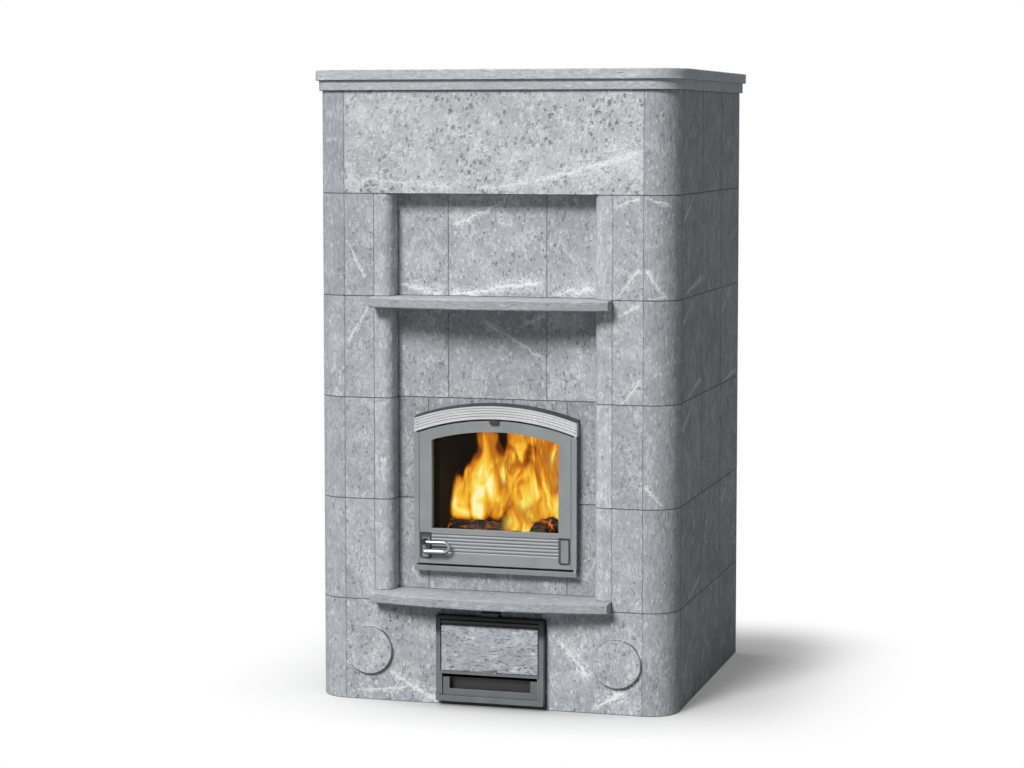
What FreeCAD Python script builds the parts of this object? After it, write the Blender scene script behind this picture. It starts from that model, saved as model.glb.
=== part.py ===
import FreeCAD, Part
import math
import os

V = FreeCAD.Vector

# A free-standing stone heater: a shell of courses of stone around a firebox, an upper chamber and
# side channels, with an arched glazed fire door in a niche and an ash unit in the base.
# Millimetres. X runs right, Y runs back from the front, Z runs up. The origin is the middle of the
# stone body on the floor.

# Stone body
body_width = 1085.0
body_depth = 954.0
course_height = 300.0
course_count = 6
surround_joint_course_count = 2
surround_course_count = 3
mantel_course_count = 4
niche_course_count = 5
shell_thickness = 60.0
corner_stone = 92.0
corner_flat = 4.0
side_panel_count = 3
rear_panel_count = 3
arris = 1.6

# Niche, jambs and shelves
front_panel_width = 91.5
jamb_width = 54.0
jamb_flat = 26.0
niche_depth = 60.0
niche_panel_thickness = 45.0
niche_centre_share = 0.49
shelf_thickness = 30.0
shelf_reach = 50.0
shelf_bow = 40.0
shelf_nose = 4.0

# Cornice
cornice_thickness = 30.0
cornice_step = 10.0
lower_cornice_shares = (0.0, 0.34, 0.67, 1.0)
upper_cornice_shares = (0.0, 0.5, 1.0)

# Core inside the shell
floor_slab_thickness = 30.0
core_gap = 10.0
core_wall = 100.0
core_split_count = 2
expansion_strip_width = 80.0
firebox_half = 225.0
hearth_floor_thickness = 40.0
throat_half = 110.0
throat_height = 80.0
throat_clear = 19.0
chamber_front_wall = 80.0
crossover_height = 120.0
cap_thickness = 60.0
top_board = 60.0
rear_board = 50.0
rear_channel = 104.0
ash_pit_half = 160.0
ash_pit_length = 300.0
ash_pit_back_wall = 100.0
grate_width = 240.0
grate_back_gap = 140.0
grate_thickness = 12.0
grate_bearing = 20.0
grate_setback = 85.0
grate_slot_width = 10.0
grate_slot_pitch = 27.5
grate_rim = 26.0
grate_bridge = 12.0

# Flue outlet low in the rear wall
flue_radius = 75.0
collar_wall = 3.0
collar_fit = 1.0
collar_reach = 80.0
collar_flange = 32.0
collar_flange_thickness = 6.0
flue_lift = 10.0

# Cleaning plugs in the base panels
plug_offset = 74.0
plug_radius = 71.5
plug_reach = 12.0
plug_rim = 13.5
plug_spigot_length = 80.0
plug_fit = 2.0

# Fire door
door_side_gap = 58.0
door_lift = 58.0
door_headroom = 18.0
arch_rise = 42.0
hood_band = 38.0
hood_gap = 6.0
hood_rib_count = 5
hood_groove = 2.6
sill_bar_height = 16.0
leaf_gap = 7.5
leaf_thickness = 11.0
leaf_head = 32.0
leaf_stile = 54.0
window_lift = 103.5
flange_thickness = 8.0
sleeve_wall = 7.0
sleeve_lift = 36.0
sleeve_inset = 2.0
sleeve_headroom = 7.0
surround_fit = 2.0
surround_side_fit = 9.0
edge_groove_inset = 16.0
edge_groove = 2.0
reed_count = 6
reed_pitch = 10.0
reed_drop = 18.0
reed_groove = 3.2
reed_groove_depth = 2.4
hinge_inset = 6.0
hinge_pin_radius = 4.0
hinge_pin_bite = 13.0
hinge_pin_root = 20.0
running_clearance = 0.05

# Glass, its gasket and clips, and the seal behind the leaf
glass_thickness = 4.0
glass_overlap = 2.5
gasket_thickness = 2.0
clip_width = 20.0
clip_reach = 8.0
clip_thickness = 2.5
clip_fit = 0.5
clip_slack = 3.0
clip_clear = 0.5
clip_foot_share = 0.5
clip_places_shares = (-0.3, 0.3)
clip_screw_radius = 2.0
clip_screw_head = 3.4
clip_screw_head_height = 2.0
seal_width = 8.0
seal_margin = 4.5
seal_drop = 12.0

# Plates let into the foot of the leaf
pocket_width = 36.0
pocket_top_drop = 12.0
pocket_foot = 11.5
pocket_depth = 4.0
pocket_round = 8.0
plate_margin = 3.0
plate_thickness = 3.0
plate_border = 4.0
plate_recess = 0.8

# Handle, latch and the air-wash tab
handle_drop = 38.0
handle_reach = 64.0
handle_standoff = 20.0
handle_rod_radius = 4.5
handle_grip_radius = 7.5
handle_leg_gap = 28.0
hub_radius = 8.0
hub_gap = 0.4
spindle_radius = 4.0
tongue_width = 9.0
tongue_thickness = 4.0
tongue_gap = 2.0
tongue_clear = 3.0
striker_gap = 0.5
striker_width = 4.5
striker_height = 30.0
tab_width = 27.0
tab_drop = 9.0
tab_thickness = 7.0
tab_gap = 0.4
tab_headroom = 3.0
tab_lip_depth = 9.0
tab_round = 4.0

# Ash unit
ash_width = 326.0
ash_reach = 27.0
ash_depth = 75.0
ash_fit = 2.0
ash_lintel_height = 32.0
ash_lintel_inset = 14.0
ash_upright = 13.5
ash_upright_step = 5.0
ash_sill = 16.0
ash_sill_nose = 4.0
ash_lug = 6.0
ash_lug_width = 12.0
ash_top_rail = 9.0
flap_clear = 1.0
flap_axis_drop = 11.0
flap_axis_back = 13.0
flap_barrel_radius = 9.0
flap_thickness = 18.0
flap_plate = 4.0
flap_strip = 8.0
flap_strip_nose = 3.0
flap_inlay_margin = 1.5
flap_pin_radius = 3.0
flap_pin_root = 8.0
flap_pin_bite = 7.0
flap_pin_end_gap = 1.5
wedge_rise = 11.5
wedge_right = 23.5
wedge_run = 67.0
rivet_radius = 2.6
rivet_reach = 1.6
drawer_height = 52.0
drawer_lift = 3.0
drawer_clear = 1.0
drawer_front_set = 5.0
drawer_front_thickness = 6.0
drawer_front_upright = 20.0
drawer_front_rail = 18.0
drawer_back_gap = 101.0
drawer_wall = 3.0
drawer_recess = 18.0
drawer_headroom = 12.0
runner_width = 24.0
runner_lip = 12.0
runner_wall = 3.0
runner_thickness = 6.0
runner_back_gap = 30.0

# Air control above the ash unit
air_pull_width = 54.0
air_pull_height = 13.0
air_pull_reach = 20.0
air_pull_grip = 16.0
air_bar_width = 46.0
air_bar_thickness = 4.0
air_bar_length = 97.0
air_slot_width = 34.0
air_slot_length = 20.0
air_slot_back = 16.0
air_travel = 40.0
air_clear = 1.0

# Cuts run past the faces that they open by this much. Edges flatter than the smooth limit are
# run-outs of a rounding and are not eased.
overrun = 5.0
smooth_limit_share = 0.95

# Places worked out from the sizes above
half_width = body_width / 2
front_y = -body_depth / 2
back_y = body_depth / 2
body_height = course_count * course_height
side_inner = half_width - shell_thickness
back_inner = back_y - shell_thickness
corner_inner = half_width - corner_stone
corner_back = front_y + corner_stone
corner_radius = corner_stone - corner_flat
shell_back = front_y + shell_thickness
panel_inner = corner_inner - front_panel_width
niche_half = panel_inner - jamb_width
niche_y = front_y + niche_depth
niche_back = niche_y + niche_panel_thickness
base_top = course_height
hearth_top = base_top + shelf_thickness
mantel_top = mantel_course_count * course_height
mantel_bottom = mantel_top - shelf_thickness
niche_top = niche_course_count * course_height
surround_top = surround_course_count * course_height
surround_joint = surround_joint_course_count * course_height

door_half = niche_half - door_side_gap
flange_front = niche_y - flange_thickness
pane_stack = gasket_thickness + glass_thickness
clip_stack = pane_stack + clip_thickness + clip_screw_head_height
leaf_back = flange_front - clip_stack - clip_clear
door_front = leaf_back - leaf_thickness
sill_bar_bottom = hearth_top + door_lift
sill_bar_top = sill_bar_bottom + sill_bar_height
leaf_bottom = sill_bar_top + leaf_gap
hood_crown = surround_top - door_headroom
hood_radius = (door_half ** 2 + arch_rise ** 2) / (2 * arch_rise)
arch_centre = hood_crown - hood_radius
hood_under_radius = hood_radius - hood_band
leaf_radius = hood_under_radius - hood_gap
window_radius = leaf_radius - leaf_head
window_half = door_half - leaf_stile
window_bottom = leaf_bottom + window_lift
sleeve_half = window_half + sleeve_inset
sleeve_bottom = sill_bar_top + sleeve_lift
sleeve_top = arch_centre + window_radius + sleeve_inset + sleeve_headroom
opening_half = sleeve_half + sleeve_wall + surround_side_fit
opening_bottom = sleeve_bottom - sleeve_wall - surround_fit
opening_top = sleeve_top + sleeve_wall + surround_fit
hinge_x = door_half - hinge_inset
hinge_y = door_front + leaf_thickness / 2
spindle_x = -(window_half + seal_margin + seal_width + tongue_clear + spindle_radius)
pocket_top = window_bottom - pocket_top_drop
pocket_height = window_lift - pocket_top_drop - pocket_foot
spindle_z = window_bottom - handle_drop
plate_front = door_front + pocket_depth - plate_thickness

core_front = niche_back + core_gap
core_half = firebox_half + core_wall
core_back = back_inner - rear_board - rear_channel
firebox_back = core_back - core_wall
firebox_floor = sleeve_bottom
footing_top = firebox_floor - hearth_floor_thickness
ash_pit_back = core_front + ash_pit_length
throat_bottom = opening_top + throat_clear
throat_top = throat_bottom + throat_height
cap_top = body_height - top_board
cap_bottom = cap_top - cap_thickness
chamber_side_top = cap_bottom - crossover_height

ash_half = ash_width / 2
ash_front = front_y - ash_reach
ash_back = ash_front + ash_depth
ash_top = base_top - ash_lintel_height
ash_plinth = floor_slab_thickness + runner_thickness - drawer_lift - ash_sill
ash_floor = ash_plinth + ash_sill
ash_bay_half = ash_half + ash_fit
ash_lintel_half = ash_half - ash_lintel_inset
flap_opening_half = ash_half - ash_upright
drawer_opening_half = flap_opening_half - ash_upright_step
drawer_bottom = ash_floor + drawer_lift
drawer_front_bottom = ash_floor + drawer_clear
drawer_front_top = drawer_front_bottom + drawer_height
flap_bottom = drawer_front_top + drawer_headroom
flap_axis_z = ash_top - ash_top_rail - flap_axis_drop
flap_axis_y = ash_front + flap_axis_back
flap_back = ash_front + flap_thickness
flap_half = flap_opening_half - flap_clear
inlay_bottom = flap_bottom + flap_strip
inlay_top = flap_axis_z - flap_barrel_radius
plug_x = corner_inner - plug_offset
plug_z = course_height / 2
plug_spigot_radius = plug_radius - plug_rim
collar_radius = flue_radius + collar_wall
flange_radius = collar_radius + collar_flange
flue_z = floor_slab_thickness + flange_radius + flue_lift


# Building helpers

def block(x_span, y_span, z_span):
    spans = (x_span, y_span, z_span)
    sides = [high - low for low, high in spans]
    return Part.makeBox(*sides, V(*[low for low, high in spans]))


def sharp_edges(shape):
    found = []
    for edge in shape.Edges:
        faces = shape.ancestorsOfType(edge, Part.Face)
        middle = edge.valueAt((edge.FirstParameter + edge.LastParameter) / 2)
        normals = [face.normalAt(*face.Surface.parameter(middle)) for face in faces]
        if len(normals) == 2 and normals[0].dot(normals[1]) < smooth_limit_share:
            found.append(edge)
    return found


def eased(shape, size=arris):
    return shape.makeChamfer(size, sharp_edges(shape))


def stone(x_span, y_span, z_span):
    return eased(block(x_span, y_span, z_span))


def even_spans(low, high, count):
    step = (high - low) / count
    return [(low + step * place, low + step * (place + 1)) for place in range(count)]


def mirrored(shape):
    return shape.mirror(V(0, 0, 0), V(1, 0, 0))


def mirrored_all(shapes):
    return [mirrored(shape) for shape in shapes]


def both_sides(shapes):
    return list(shapes) + mirrored_all(shapes)


def mid(low, high):
    return (low + high) / 2


def rod_x(x_span, y, z, radius):
    return Part.makeCylinder(radius, x_span[1] - x_span[0], V(x_span[0], y, z), V(1, 0, 0))


def rod_y(x, y_span, z, radius):
    return Part.makeCylinder(radius, y_span[1] - y_span[0], V(x, y_span[0], z), V(0, 1, 0))


def rod_z(x, y, z_span, radius):
    return Part.makeCylinder(radius, z_span[1] - z_span[0], V(x, y, z_span[0]), V(0, 0, 1))


def upright_plate(points, y_span):
    corners = [V(x, y_span[0], z) for x, z in points]
    face = Part.Face(Part.makePolygon(corners + corners[:1]))
    return face.extrude(V(0, y_span[1] - y_span[0], 0))


def arch_height(radius, x):
    return arch_centre + math.sqrt(radius ** 2 - x ** 2)


def arch_plate(half, bottom, radius, y_span):
    shoulder = arch_height(radius, half)
    corners = [V(x, y_span[0], z) for x, z in
               ((-half, bottom), (half, bottom), (half, shoulder), (-half, shoulder))]
    sides = [Part.makeLine(corners[3], corners[0]), Part.makeLine(corners[0], corners[1]),
             Part.makeLine(corners[1], corners[2])]
    crown = Part.Arc(corners[2], V(0, y_span[0], arch_centre + radius), corners[3]).toShape()
    face = Part.Face(Part.Wire(sides + [crown]))
    return face.extrude(V(0, y_span[1] - y_span[0], 0))


def rounded_front(half, front, radius, z_span):
    # plan of a slab with both front corners rounded, running to the square rear edge
    turn = radius * (1 - math.sqrt(2) / 2)
    left, right = -half, half
    points = [V(left, back_y, z_span[0]), V(left, front + radius, z_span[0]),
              V(left + radius, front, z_span[0]), V(right - radius, front, z_span[0]),
              V(right, front + radius, z_span[0]), V(right, back_y, z_span[0])]
    edges = [Part.makeLine(points[0], points[1]),
             Part.Arc(points[1], V(left + turn, front + turn, z_span[0]), points[2]).toShape(),
             Part.makeLine(points[2], points[3]),
             Part.Arc(points[3], V(right - turn, front + turn, z_span[0]), points[4]).toShape(),
             Part.makeLine(points[4], points[5]), Part.makeLine(points[5], points[0])]
    return Part.Face(Part.Wire(edges)).extrude(V(0, 0, z_span[1] - z_span[0]))


def keep(name, shapes):
    shape = shapes[0] if len(shapes) == 1 else Part.makeCompound(shapes)
    shape.exportStep("parts/" + name + ".step")


def course_spans(first, last):
    return [(n * course_height, (n + 1) * course_height) for n in range(first, last + 1)]


# Stone shell

def corner_stones():
    whole = rounded_front(half_width, front_y, corner_radius, (0, body_height))
    stones = []
    for z_span in course_spans(0, course_count - 1):
        bay = block((corner_inner, half_width), (front_y, corner_back), z_span)
        stones.append(eased(bay.common(whole).Solids[0]))
    return stones


def side_panels():
    return [stone((side_inner, half_width), y_span, z_span)
            for z_span in course_spans(0, course_count - 1)
            for y_span in even_spans(corner_back, back_y, side_panel_count)]


def rear_places():
    return [(x_span, z_span) for z_span in course_spans(0, course_count - 1)
            for x_span in even_spans(-side_inner, side_inner, rear_panel_count)]


def flue_place(x_span, z_span):
    return x_span[0] < 0 < x_span[1] and z_span[0] < flue_z < z_span[1]


def rear_panels():
    return [stone(x_span, (back_inner, back_y), z_span)
            for x_span, z_span in rear_places() if not flue_place(x_span, z_span)]


def rear_flue_panel():
    panels = [stone(x_span, (back_inner, back_y), z_span)
              for x_span, z_span in rear_places() if flue_place(x_span, z_span)]
    hole = rod_y(0, (back_inner - overrun, back_y + overrun), flue_z, collar_radius + collar_fit)
    return panels[0].cut(hole)


def flue_collar():
    tube = rod_y(0, (back_y - collar_reach, back_y), flue_z, collar_radius)
    flange = rod_y(0, (back_inner - collar_flange_thickness, back_inner), flue_z, flange_radius)
    bore = rod_y(0, (back_y - collar_reach - overrun, back_y + overrun), flue_z, flue_radius)
    return tube.fuse(flange).cut(bore).removeSplitter()


def base_panel():
    points = [(ash_bay_half, 0), (corner_inner, 0), (corner_inner, base_top), (ash_lintel_half, base_top),
              (ash_lintel_half, ash_top), (ash_bay_half, ash_top)]
    panel = eased(upright_plate(points, (front_y, niche_back)))
    hole = rod_y(plug_x, (front_y - overrun, niche_back + overrun), plug_z, plug_spigot_radius + plug_fit)
    return panel.cut(hole)


def cleaning_plug():
    cover = rod_y(plug_x, (front_y - plug_reach, front_y), plug_z, plug_radius)
    rim = [edge for edge in cover.Edges if edge.CenterOfMass.y < front_y - plug_reach / 2 and edge.Closed]
    spigot = rod_y(plug_x, (front_y, front_y + plug_spigot_length), plug_z, plug_spigot_radius)
    return cover.makeChamfer(arris, rim).fuse(spigot).removeSplitter()


def ash_plinth_stone():
    return stone((-ash_bay_half, ash_bay_half), (front_y, niche_back), (0, ash_plinth))


def ash_lintel_stone():
    lintel = stone((-ash_lintel_half, ash_lintel_half), (front_y, niche_back), (ash_top, base_top))
    half = air_pull_width / 2 + air_clear
    notch = block((-half, half), (front_y - overrun, niche_back + overrun),
                  (ash_top - overrun, ash_top + air_pull_height + 2 * air_clear))
    return lintel.cut(notch)


def shelf(top):
    tip = front_y - shelf_reach
    bottom = top - shelf_thickness
    ends = [V(-panel_inner, tip, bottom), V(panel_inner, tip, bottom)]
    backs = [V(panel_inner, niche_back, bottom), V(-panel_inner, niche_back, bottom)]
    bow = Part.Arc(ends[0], V(0, tip - shelf_bow, bottom), ends[1]).toShape()
    sides = [Part.makeLine(start, end)
             for start, end in ((ends[1], backs[0]), (backs[0], backs[1]), (backs[1], ends[0]))]
    slab = Part.Face(Part.Wire([bow] + sides)).extrude(V(0, 0, shelf_thickness))
    nose = [edge for edge in slab.Edges if edge.BoundBox.YMax < front_y - arris]
    return slab.makeFillet(shelf_nose, nose)


def front_panels():
    return [stone((panel_inner, corner_inner), (front_y, shell_back), z_span)
            for z_span in course_spans(1, niche_course_count - 1)]


def jamb_stone(z_span):
    radius = jamb_width - jamb_flat
    post = block((niche_half, panel_inner), (front_y, niche_back), z_span)
    inner_edge = [edge for edge in post.Edges
                  if edge.BoundBox.XMax < mid(niche_half, panel_inner) and edge.BoundBox.YMax < niche_y]
    return eased(post.makeFillet(radius, inner_edge))


def jamb_stones():
    return both_sides([jamb_stone(z_span) for z_span in surround_levels() + niche_levels()])


def niche_levels():
    return [(surround_top, mantel_bottom), (mantel_top, niche_top)]


def surround_levels():
    return [(hearth_top, surround_joint), (surround_joint, surround_top)]


def niche_panels():
    joint = niche_half * niche_centre_share
    columns = [(-niche_half, -joint), (-joint, joint), (joint, niche_half)]
    return [stone(x_span, (niche_y, niche_back), z_span) for z_span in niche_levels() for x_span in columns]


def door_surround_stones():
    y_span = (niche_y, niche_back)
    pillars = [stone((opening_half, niche_half), y_span, z_span) for z_span in surround_levels()]
    sill = stone((-opening_half, opening_half), y_span, (hearth_top, opening_bottom))
    lintel = stone((-opening_half, opening_half), y_span, (opening_top, surround_top))
    return both_sides(pillars) + [sill, lintel]


def top_lintel_panel():
    return stone((-corner_inner, corner_inner), (front_y, shell_back), (niche_top, body_height))


def cornice_slabs(layer, joint_shares):
    overhang = cornice_step * (layer + 1)
    bottom = body_height + layer * cornice_thickness
    front = front_y - overhang
    slab = rounded_front(half_width + overhang, front, corner_radius + overhang,
                         (bottom, bottom + cornice_thickness))
    joints = [front + share * (back_y - front) for share in joint_shares]
    reach = half_width + overhang
    slabs = []
    for y_span in zip(joints[:-1], joints[1:]):
        bay = block((-reach, reach), y_span, (bottom, bottom + cornice_thickness))
        slabs.append(eased(bay.common(slab).Solids[0]))
    return slabs


# Core: footings, firebox, throat, upper chamber and cap

def floor_slab():
    return block((-side_inner, side_inner), (niche_back, back_inner), (0, floor_slab_thickness))


def core_parts(low, high):
    return even_spans(low, high, core_split_count)


def footing_stones():
    return [stone((ash_pit_half, core_half), y_span, z_span)
            for y_span in core_parts(core_front, core_back)
            for z_span in core_parts(floor_slab_thickness, footing_top)]


def ash_pit_back_stone():
    y_span = (ash_pit_back, ash_pit_back + ash_pit_back_wall)
    return stone((-ash_pit_half, ash_pit_half), y_span, (floor_slab_thickness, footing_top))


def grate_y_span():
    return (core_front + grate_setback, firebox_back - grate_back_gap)


def hearth_floor_stones():
    near, far = grate_y_span()
    half = grate_width / 2 - grate_bearing
    z_span = (footing_top, firebox_floor)
    hole = (near + grate_bearing, far - grate_bearing)
    cheeks = both_sides([stone((half, core_half), hole, z_span)])
    front = stone((-core_half, core_half), (core_front, hole[0]), z_span)
    rear = stone((-core_half, core_half), (hole[1], core_back), z_span)
    return cheeks + [front, rear]


def grate():
    near, far = grate_y_span()
    half = grate_width / 2
    plate = block((-half, half), (near, far), (firebox_floor, firebox_floor + grate_thickness))
    cut_z = (firebox_floor - overrun, firebox_floor + grate_thickness + overrun)
    slot_count = int((far - near - 2 * grate_rim) / grate_slot_pitch)
    for y_span in even_spans(near + grate_rim, far - grate_rim, slot_count):
        middle = mid(*y_span)
        slot_y = (middle - grate_slot_width / 2, middle + grate_slot_width / 2)
        for x_span in ((-half + grate_rim, -grate_bridge / 2), (grate_bridge / 2, half - grate_rim)):
            plate = plate.cut(block(x_span, slot_y, cut_z))
    return plate


def firebox_stones():
    courses = core_parts(firebox_floor, throat_bottom)
    sides = [stone((firebox_half, core_half), y_span, z_span)
             for z_span in courses for y_span in core_parts(core_front, core_back)]
    backs = [stone((-firebox_half, firebox_half), (firebox_back, core_back), z_span) for z_span in courses]
    return both_sides(sides) + backs


def throat_stones():
    z_span = (throat_bottom, throat_top)
    lintel_back = core_front + core_wall
    lintel = stone((-core_half, core_half), (core_front, lintel_back), z_span)
    back = stone((-core_half, core_half), (firebox_back, core_back), z_span)
    cheeks = both_sides([stone((throat_half, core_half), (lintel_back, firebox_back), z_span)])
    return [lintel, back] + cheeks


def chamber_stones():
    side_courses = core_parts(throat_top, chamber_side_top)
    end_courses = core_parts(throat_top, cap_bottom)
    sides = [stone((firebox_half, core_half), y_span, z_span)
             for z_span in side_courses for y_span in core_parts(core_front, core_back)]
    x_span = (-firebox_half, firebox_half)
    fronts = [stone(x_span, (core_front, core_front + chamber_front_wall), z_span) for z_span in end_courses]
    backs = [stone(x_span, (firebox_back, core_back), z_span) for z_span in end_courses]
    return both_sides(sides) + fronts + backs


def core_top_slab():
    return stone((-side_inner, side_inner), (core_front, core_back), (cap_bottom, cap_top))


def insulation_boards():
    x_span = (-side_inner, side_inner)
    top = block(x_span, (core_front, back_inner), (cap_top, body_height))
    rear = block(x_span, (back_inner - rear_board, back_inner), (base_top, cap_top))
    return [top, rear]


def expansion_strips():
    x_span = (niche_half - expansion_strip_width, niche_half)
    return both_sides([block(x_span, (niche_back, core_front), (firebox_floor, chamber_side_top))])


# Fire door: fixed frame

def door_frame():
    flange = arch_plate(door_half, sill_bar_bottom, hood_radius, (flange_front, niche_y))
    y_span = (flange_front - overrun, niche_y + overrun)
    opening = arch_plate(sleeve_half, sleeve_bottom, window_radius + sleeve_inset, y_span)
    outer = block((-sleeve_half - sleeve_wall, sleeve_half + sleeve_wall), (niche_y, core_front),
                  (sleeve_bottom - sleeve_wall, sleeve_top + sleeve_wall))
    bore = block((-sleeve_half, sleeve_half), (niche_y - overrun, core_front + overrun),
                 (sleeve_bottom, sleeve_top))
    sleeve = outer.cut(bore)
    return flange.cut(opening).fuse(sleeve).removeSplitter()


def hinge_hole(z_span):
    return rod_z(hinge_x, hinge_y, z_span, hinge_pin_radius + running_clearance)


def hinge_pin_spans():
    foot = (sill_bar_top - hinge_pin_bite, leaf_bottom + hinge_pin_root)
    head_top = arch_height(hood_under_radius, hinge_x) + hinge_pin_bite
    head = (arch_height(leaf_radius, hinge_x) - hinge_pin_root, head_top)
    return foot, head


def door_hood():
    y_span = (door_front, flange_front)
    wide = (door_front - overrun, flange_front + overrun)
    band = arch_plate(door_half, sill_bar_bottom, hood_radius, y_span)
    band = band.cut(arch_plate(door_half + overrun, sill_bar_bottom - overrun, hood_under_radius, wide))
    pitch = hood_band / hood_rib_count
    for place in range(1, hood_rib_count):
        radius = hood_under_radius + place * pitch
        ring = Part.makeTorus(radius, hood_groove, V(0, door_front, arch_centre), V(0, 1, 0))
        band = band.cut(ring)
    return band.cut(hinge_hole(hinge_pin_spans()[1]))


def door_sill_bar():
    bar = eased(block((-door_half, door_half), (door_front, flange_front), (sill_bar_bottom, sill_bar_top)))
    return bar.cut(hinge_hole(hinge_pin_spans()[0]))


def latch_striker():
    return block((-door_half, -door_half + striker_width), (leaf_back + tongue_gap, flange_front),
                 (spindle_z - striker_height / 2, spindle_z + striker_height / 2))


# Fire door: swinging leaf and what it carries

def pocket(x_span, shrink, y_span):
    corners = block((x_span[0] + shrink, x_span[1] - shrink), y_span,
                    (pocket_top - pocket_height + shrink, pocket_top - shrink))
    low_edges = [edge for edge in corners.Edges
                 if edge.BoundBox.ZMax < pocket_top - pocket_height / 2
                 and edge.BoundBox.YLength > shrink / 2
                 and edge.BoundBox.XLength < pocket_round / 2]
    return corners.makeFillet(pocket_round - shrink, low_edges)


def pocket_span():
    return (-window_half - pocket_width, -window_half)


def door_leaf():
    leaf = arch_plate(door_half, leaf_bottom, leaf_radius, (door_front, leaf_back))
    wide = (door_front - overrun, leaf_back + overrun)
    leaf = leaf.cut(arch_plate(window_half, window_bottom, window_radius, wide))
    for step in range(reed_count):
        z = window_bottom - reed_drop - step * reed_pitch
        centre_y = door_front + reed_groove_depth - reed_groove
        leaf = leaf.cut(rod_x((-window_half, window_half), centre_y, z, reed_groove))
    groove_x = door_half - edge_groove_inset
    groove = block((groove_x - edge_groove / 2, groove_x + edge_groove / 2),
                   (door_front - overrun, door_front + edge_groove), (leaf_bottom - overrun, hood_crown))
    recess = pocket(pocket_span(), 0, (door_front, door_front + pocket_depth))
    for cut in both_sides([groove, recess]):
        leaf = leaf.cut(cut)
    leaf = leaf.cut(rod_y(spindle_x, wide, spindle_z, spindle_radius + running_clearance))
    foot, head = hinge_pin_spans()
    leaf = leaf.cut(hinge_hole((leaf_bottom - overrun, foot[1])))
    return leaf.cut(hinge_hole((head[0], hood_crown)))


def door_hinge_pins():
    return [rod_z(hinge_x, hinge_y, z_span, hinge_pin_radius) for z_span in hinge_pin_spans()]


def glass_outline(grow, y_span):
    return arch_plate(window_half + grow, window_bottom - grow, window_radius + grow, y_span)


def glass_gasket():
    y_span = (leaf_back, leaf_back + gasket_thickness)
    hole = glass_outline(0, (leaf_back - overrun, leaf_back + overrun))
    return glass_outline(glass_overlap, y_span).cut(hole)


def door_glass():
    return glass_outline(glass_overlap, (leaf_back + gasket_thickness, leaf_back + pane_stack))


def clip_seats():
    # each clip stands on the leaf just outside an edge of the pane and reaches over it
    edge = glass_overlap + clip_fit
    low = window_bottom - edge
    places = [share * window_half for share in clip_places_shares]
    crown = [(x, arch_height(window_radius + edge, abs(x) - clip_width / 2)) for x in places]
    return [(x, low, -1) for x in places] + [(x, z, 1) for x, z in crown]


def glass_clips():
    pane_back = leaf_back + pane_stack
    clips = []
    for x, z, way in clip_seats():
        foot_z = sorted((z, z + way * clip_reach))
        hook_z = sorted((z - way * clip_reach * clip_foot_share, z + way * clip_reach))
        x_span = (x - clip_width / 2, x + clip_width / 2)
        foot = block(x_span, (leaf_back, pane_back), foot_z)
        hook = block(x_span, (pane_back, pane_back + clip_thickness), hook_z)
        clip = foot.fuse(hook).removeSplitter()
        hole_y = (leaf_back - overrun, pane_back + clip_thickness + overrun)
        clips.append(clip.cut(rod_y(x, hole_y, z + way * clip_reach / 2, clip_screw_radius)))
    return clips


def clip_screws():
    seat = leaf_back + pane_stack + clip_thickness
    screws = []
    for x, z, way in clip_seats():
        centre = z + way * clip_reach / 2
        shank = rod_y(x, (leaf_back, seat), centre, clip_screw_radius)
        head = rod_y(x, (seat, seat + clip_screw_head_height), centre, clip_screw_head)
        screws.append(shank.fuse(head).removeSplitter())
    return screws


def door_seal():
    y_span = (leaf_back, flange_front)
    wide = (leaf_back - overrun, flange_front + overrun)
    half = window_half + seal_margin
    bottom = sleeve_bottom - seal_drop
    radius = window_radius + glass_overlap + clip_fit + clip_reach + clip_slack
    outer = arch_plate(half + seal_width, bottom, radius + seal_width, y_span)
    return outer.cut(arch_plate(half, bottom + seal_width, radius, wide))


def pocket_plate():
    body = pocket(pocket_span(), plate_margin, (plate_front, plate_front + plate_thickness))
    border = plate_margin + plate_border
    return body.cut(pocket(pocket_span(), border, (plate_front - overrun, plate_front + plate_recess)))


def handle_escutcheon():
    hole = rod_y(spindle_x, (door_front - overrun, leaf_back), spindle_z, spindle_radius + running_clearance)
    return pocket_plate().cut(hole)


def blank_plate():
    return mirrored(pocket_plate())


def door_handle():
    rod_plane = door_front - handle_standoff
    hub = rod_y(spindle_x, (rod_plane - handle_grip_radius, plate_front - hub_gap), spindle_z, hub_radius)
    bend_x = spindle_x + handle_reach
    leg = rod_x((spindle_x, bend_x), rod_plane, spindle_z, handle_rod_radius)
    bend_z = spindle_z - handle_leg_gap / 2
    bend_centre = V(bend_x, rod_plane, bend_z)
    bend = Part.makeTorus(handle_leg_gap / 2, handle_rod_radius, bend_centre, V(0, 1, 0))
    reach = handle_leg_gap
    half_space = block((bend_x, bend_x + reach), (rod_plane - reach, rod_plane + reach),
                       (bend_z - reach, bend_z + reach))
    bend = bend.common(half_space)
    grip = rod_x((spindle_x, bend_x), rod_plane, spindle_z - handle_leg_gap, handle_grip_radius)
    ends = [edge for edge in grip.Edges if edge.Closed]
    grip = grip.makeFillet(handle_grip_radius / 2, ends)
    return hub.fuse(leg).fuse(bend).fuse(grip).removeSplitter()


def latch_spindle():
    tongue_y = (leaf_back + tongue_gap, leaf_back + tongue_gap + tongue_thickness)
    shaft = rod_y(spindle_x, (plate_front - hub_gap, tongue_y[1]), spindle_z, spindle_radius)
    tip = -door_half + striker_width + striker_gap
    tongue = block((tip, spindle_x + spindle_radius), tongue_y,
                   (spindle_z - tongue_width / 2, spindle_z + tongue_width / 2))
    return shaft.fuse(tongue).removeSplitter()


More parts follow.
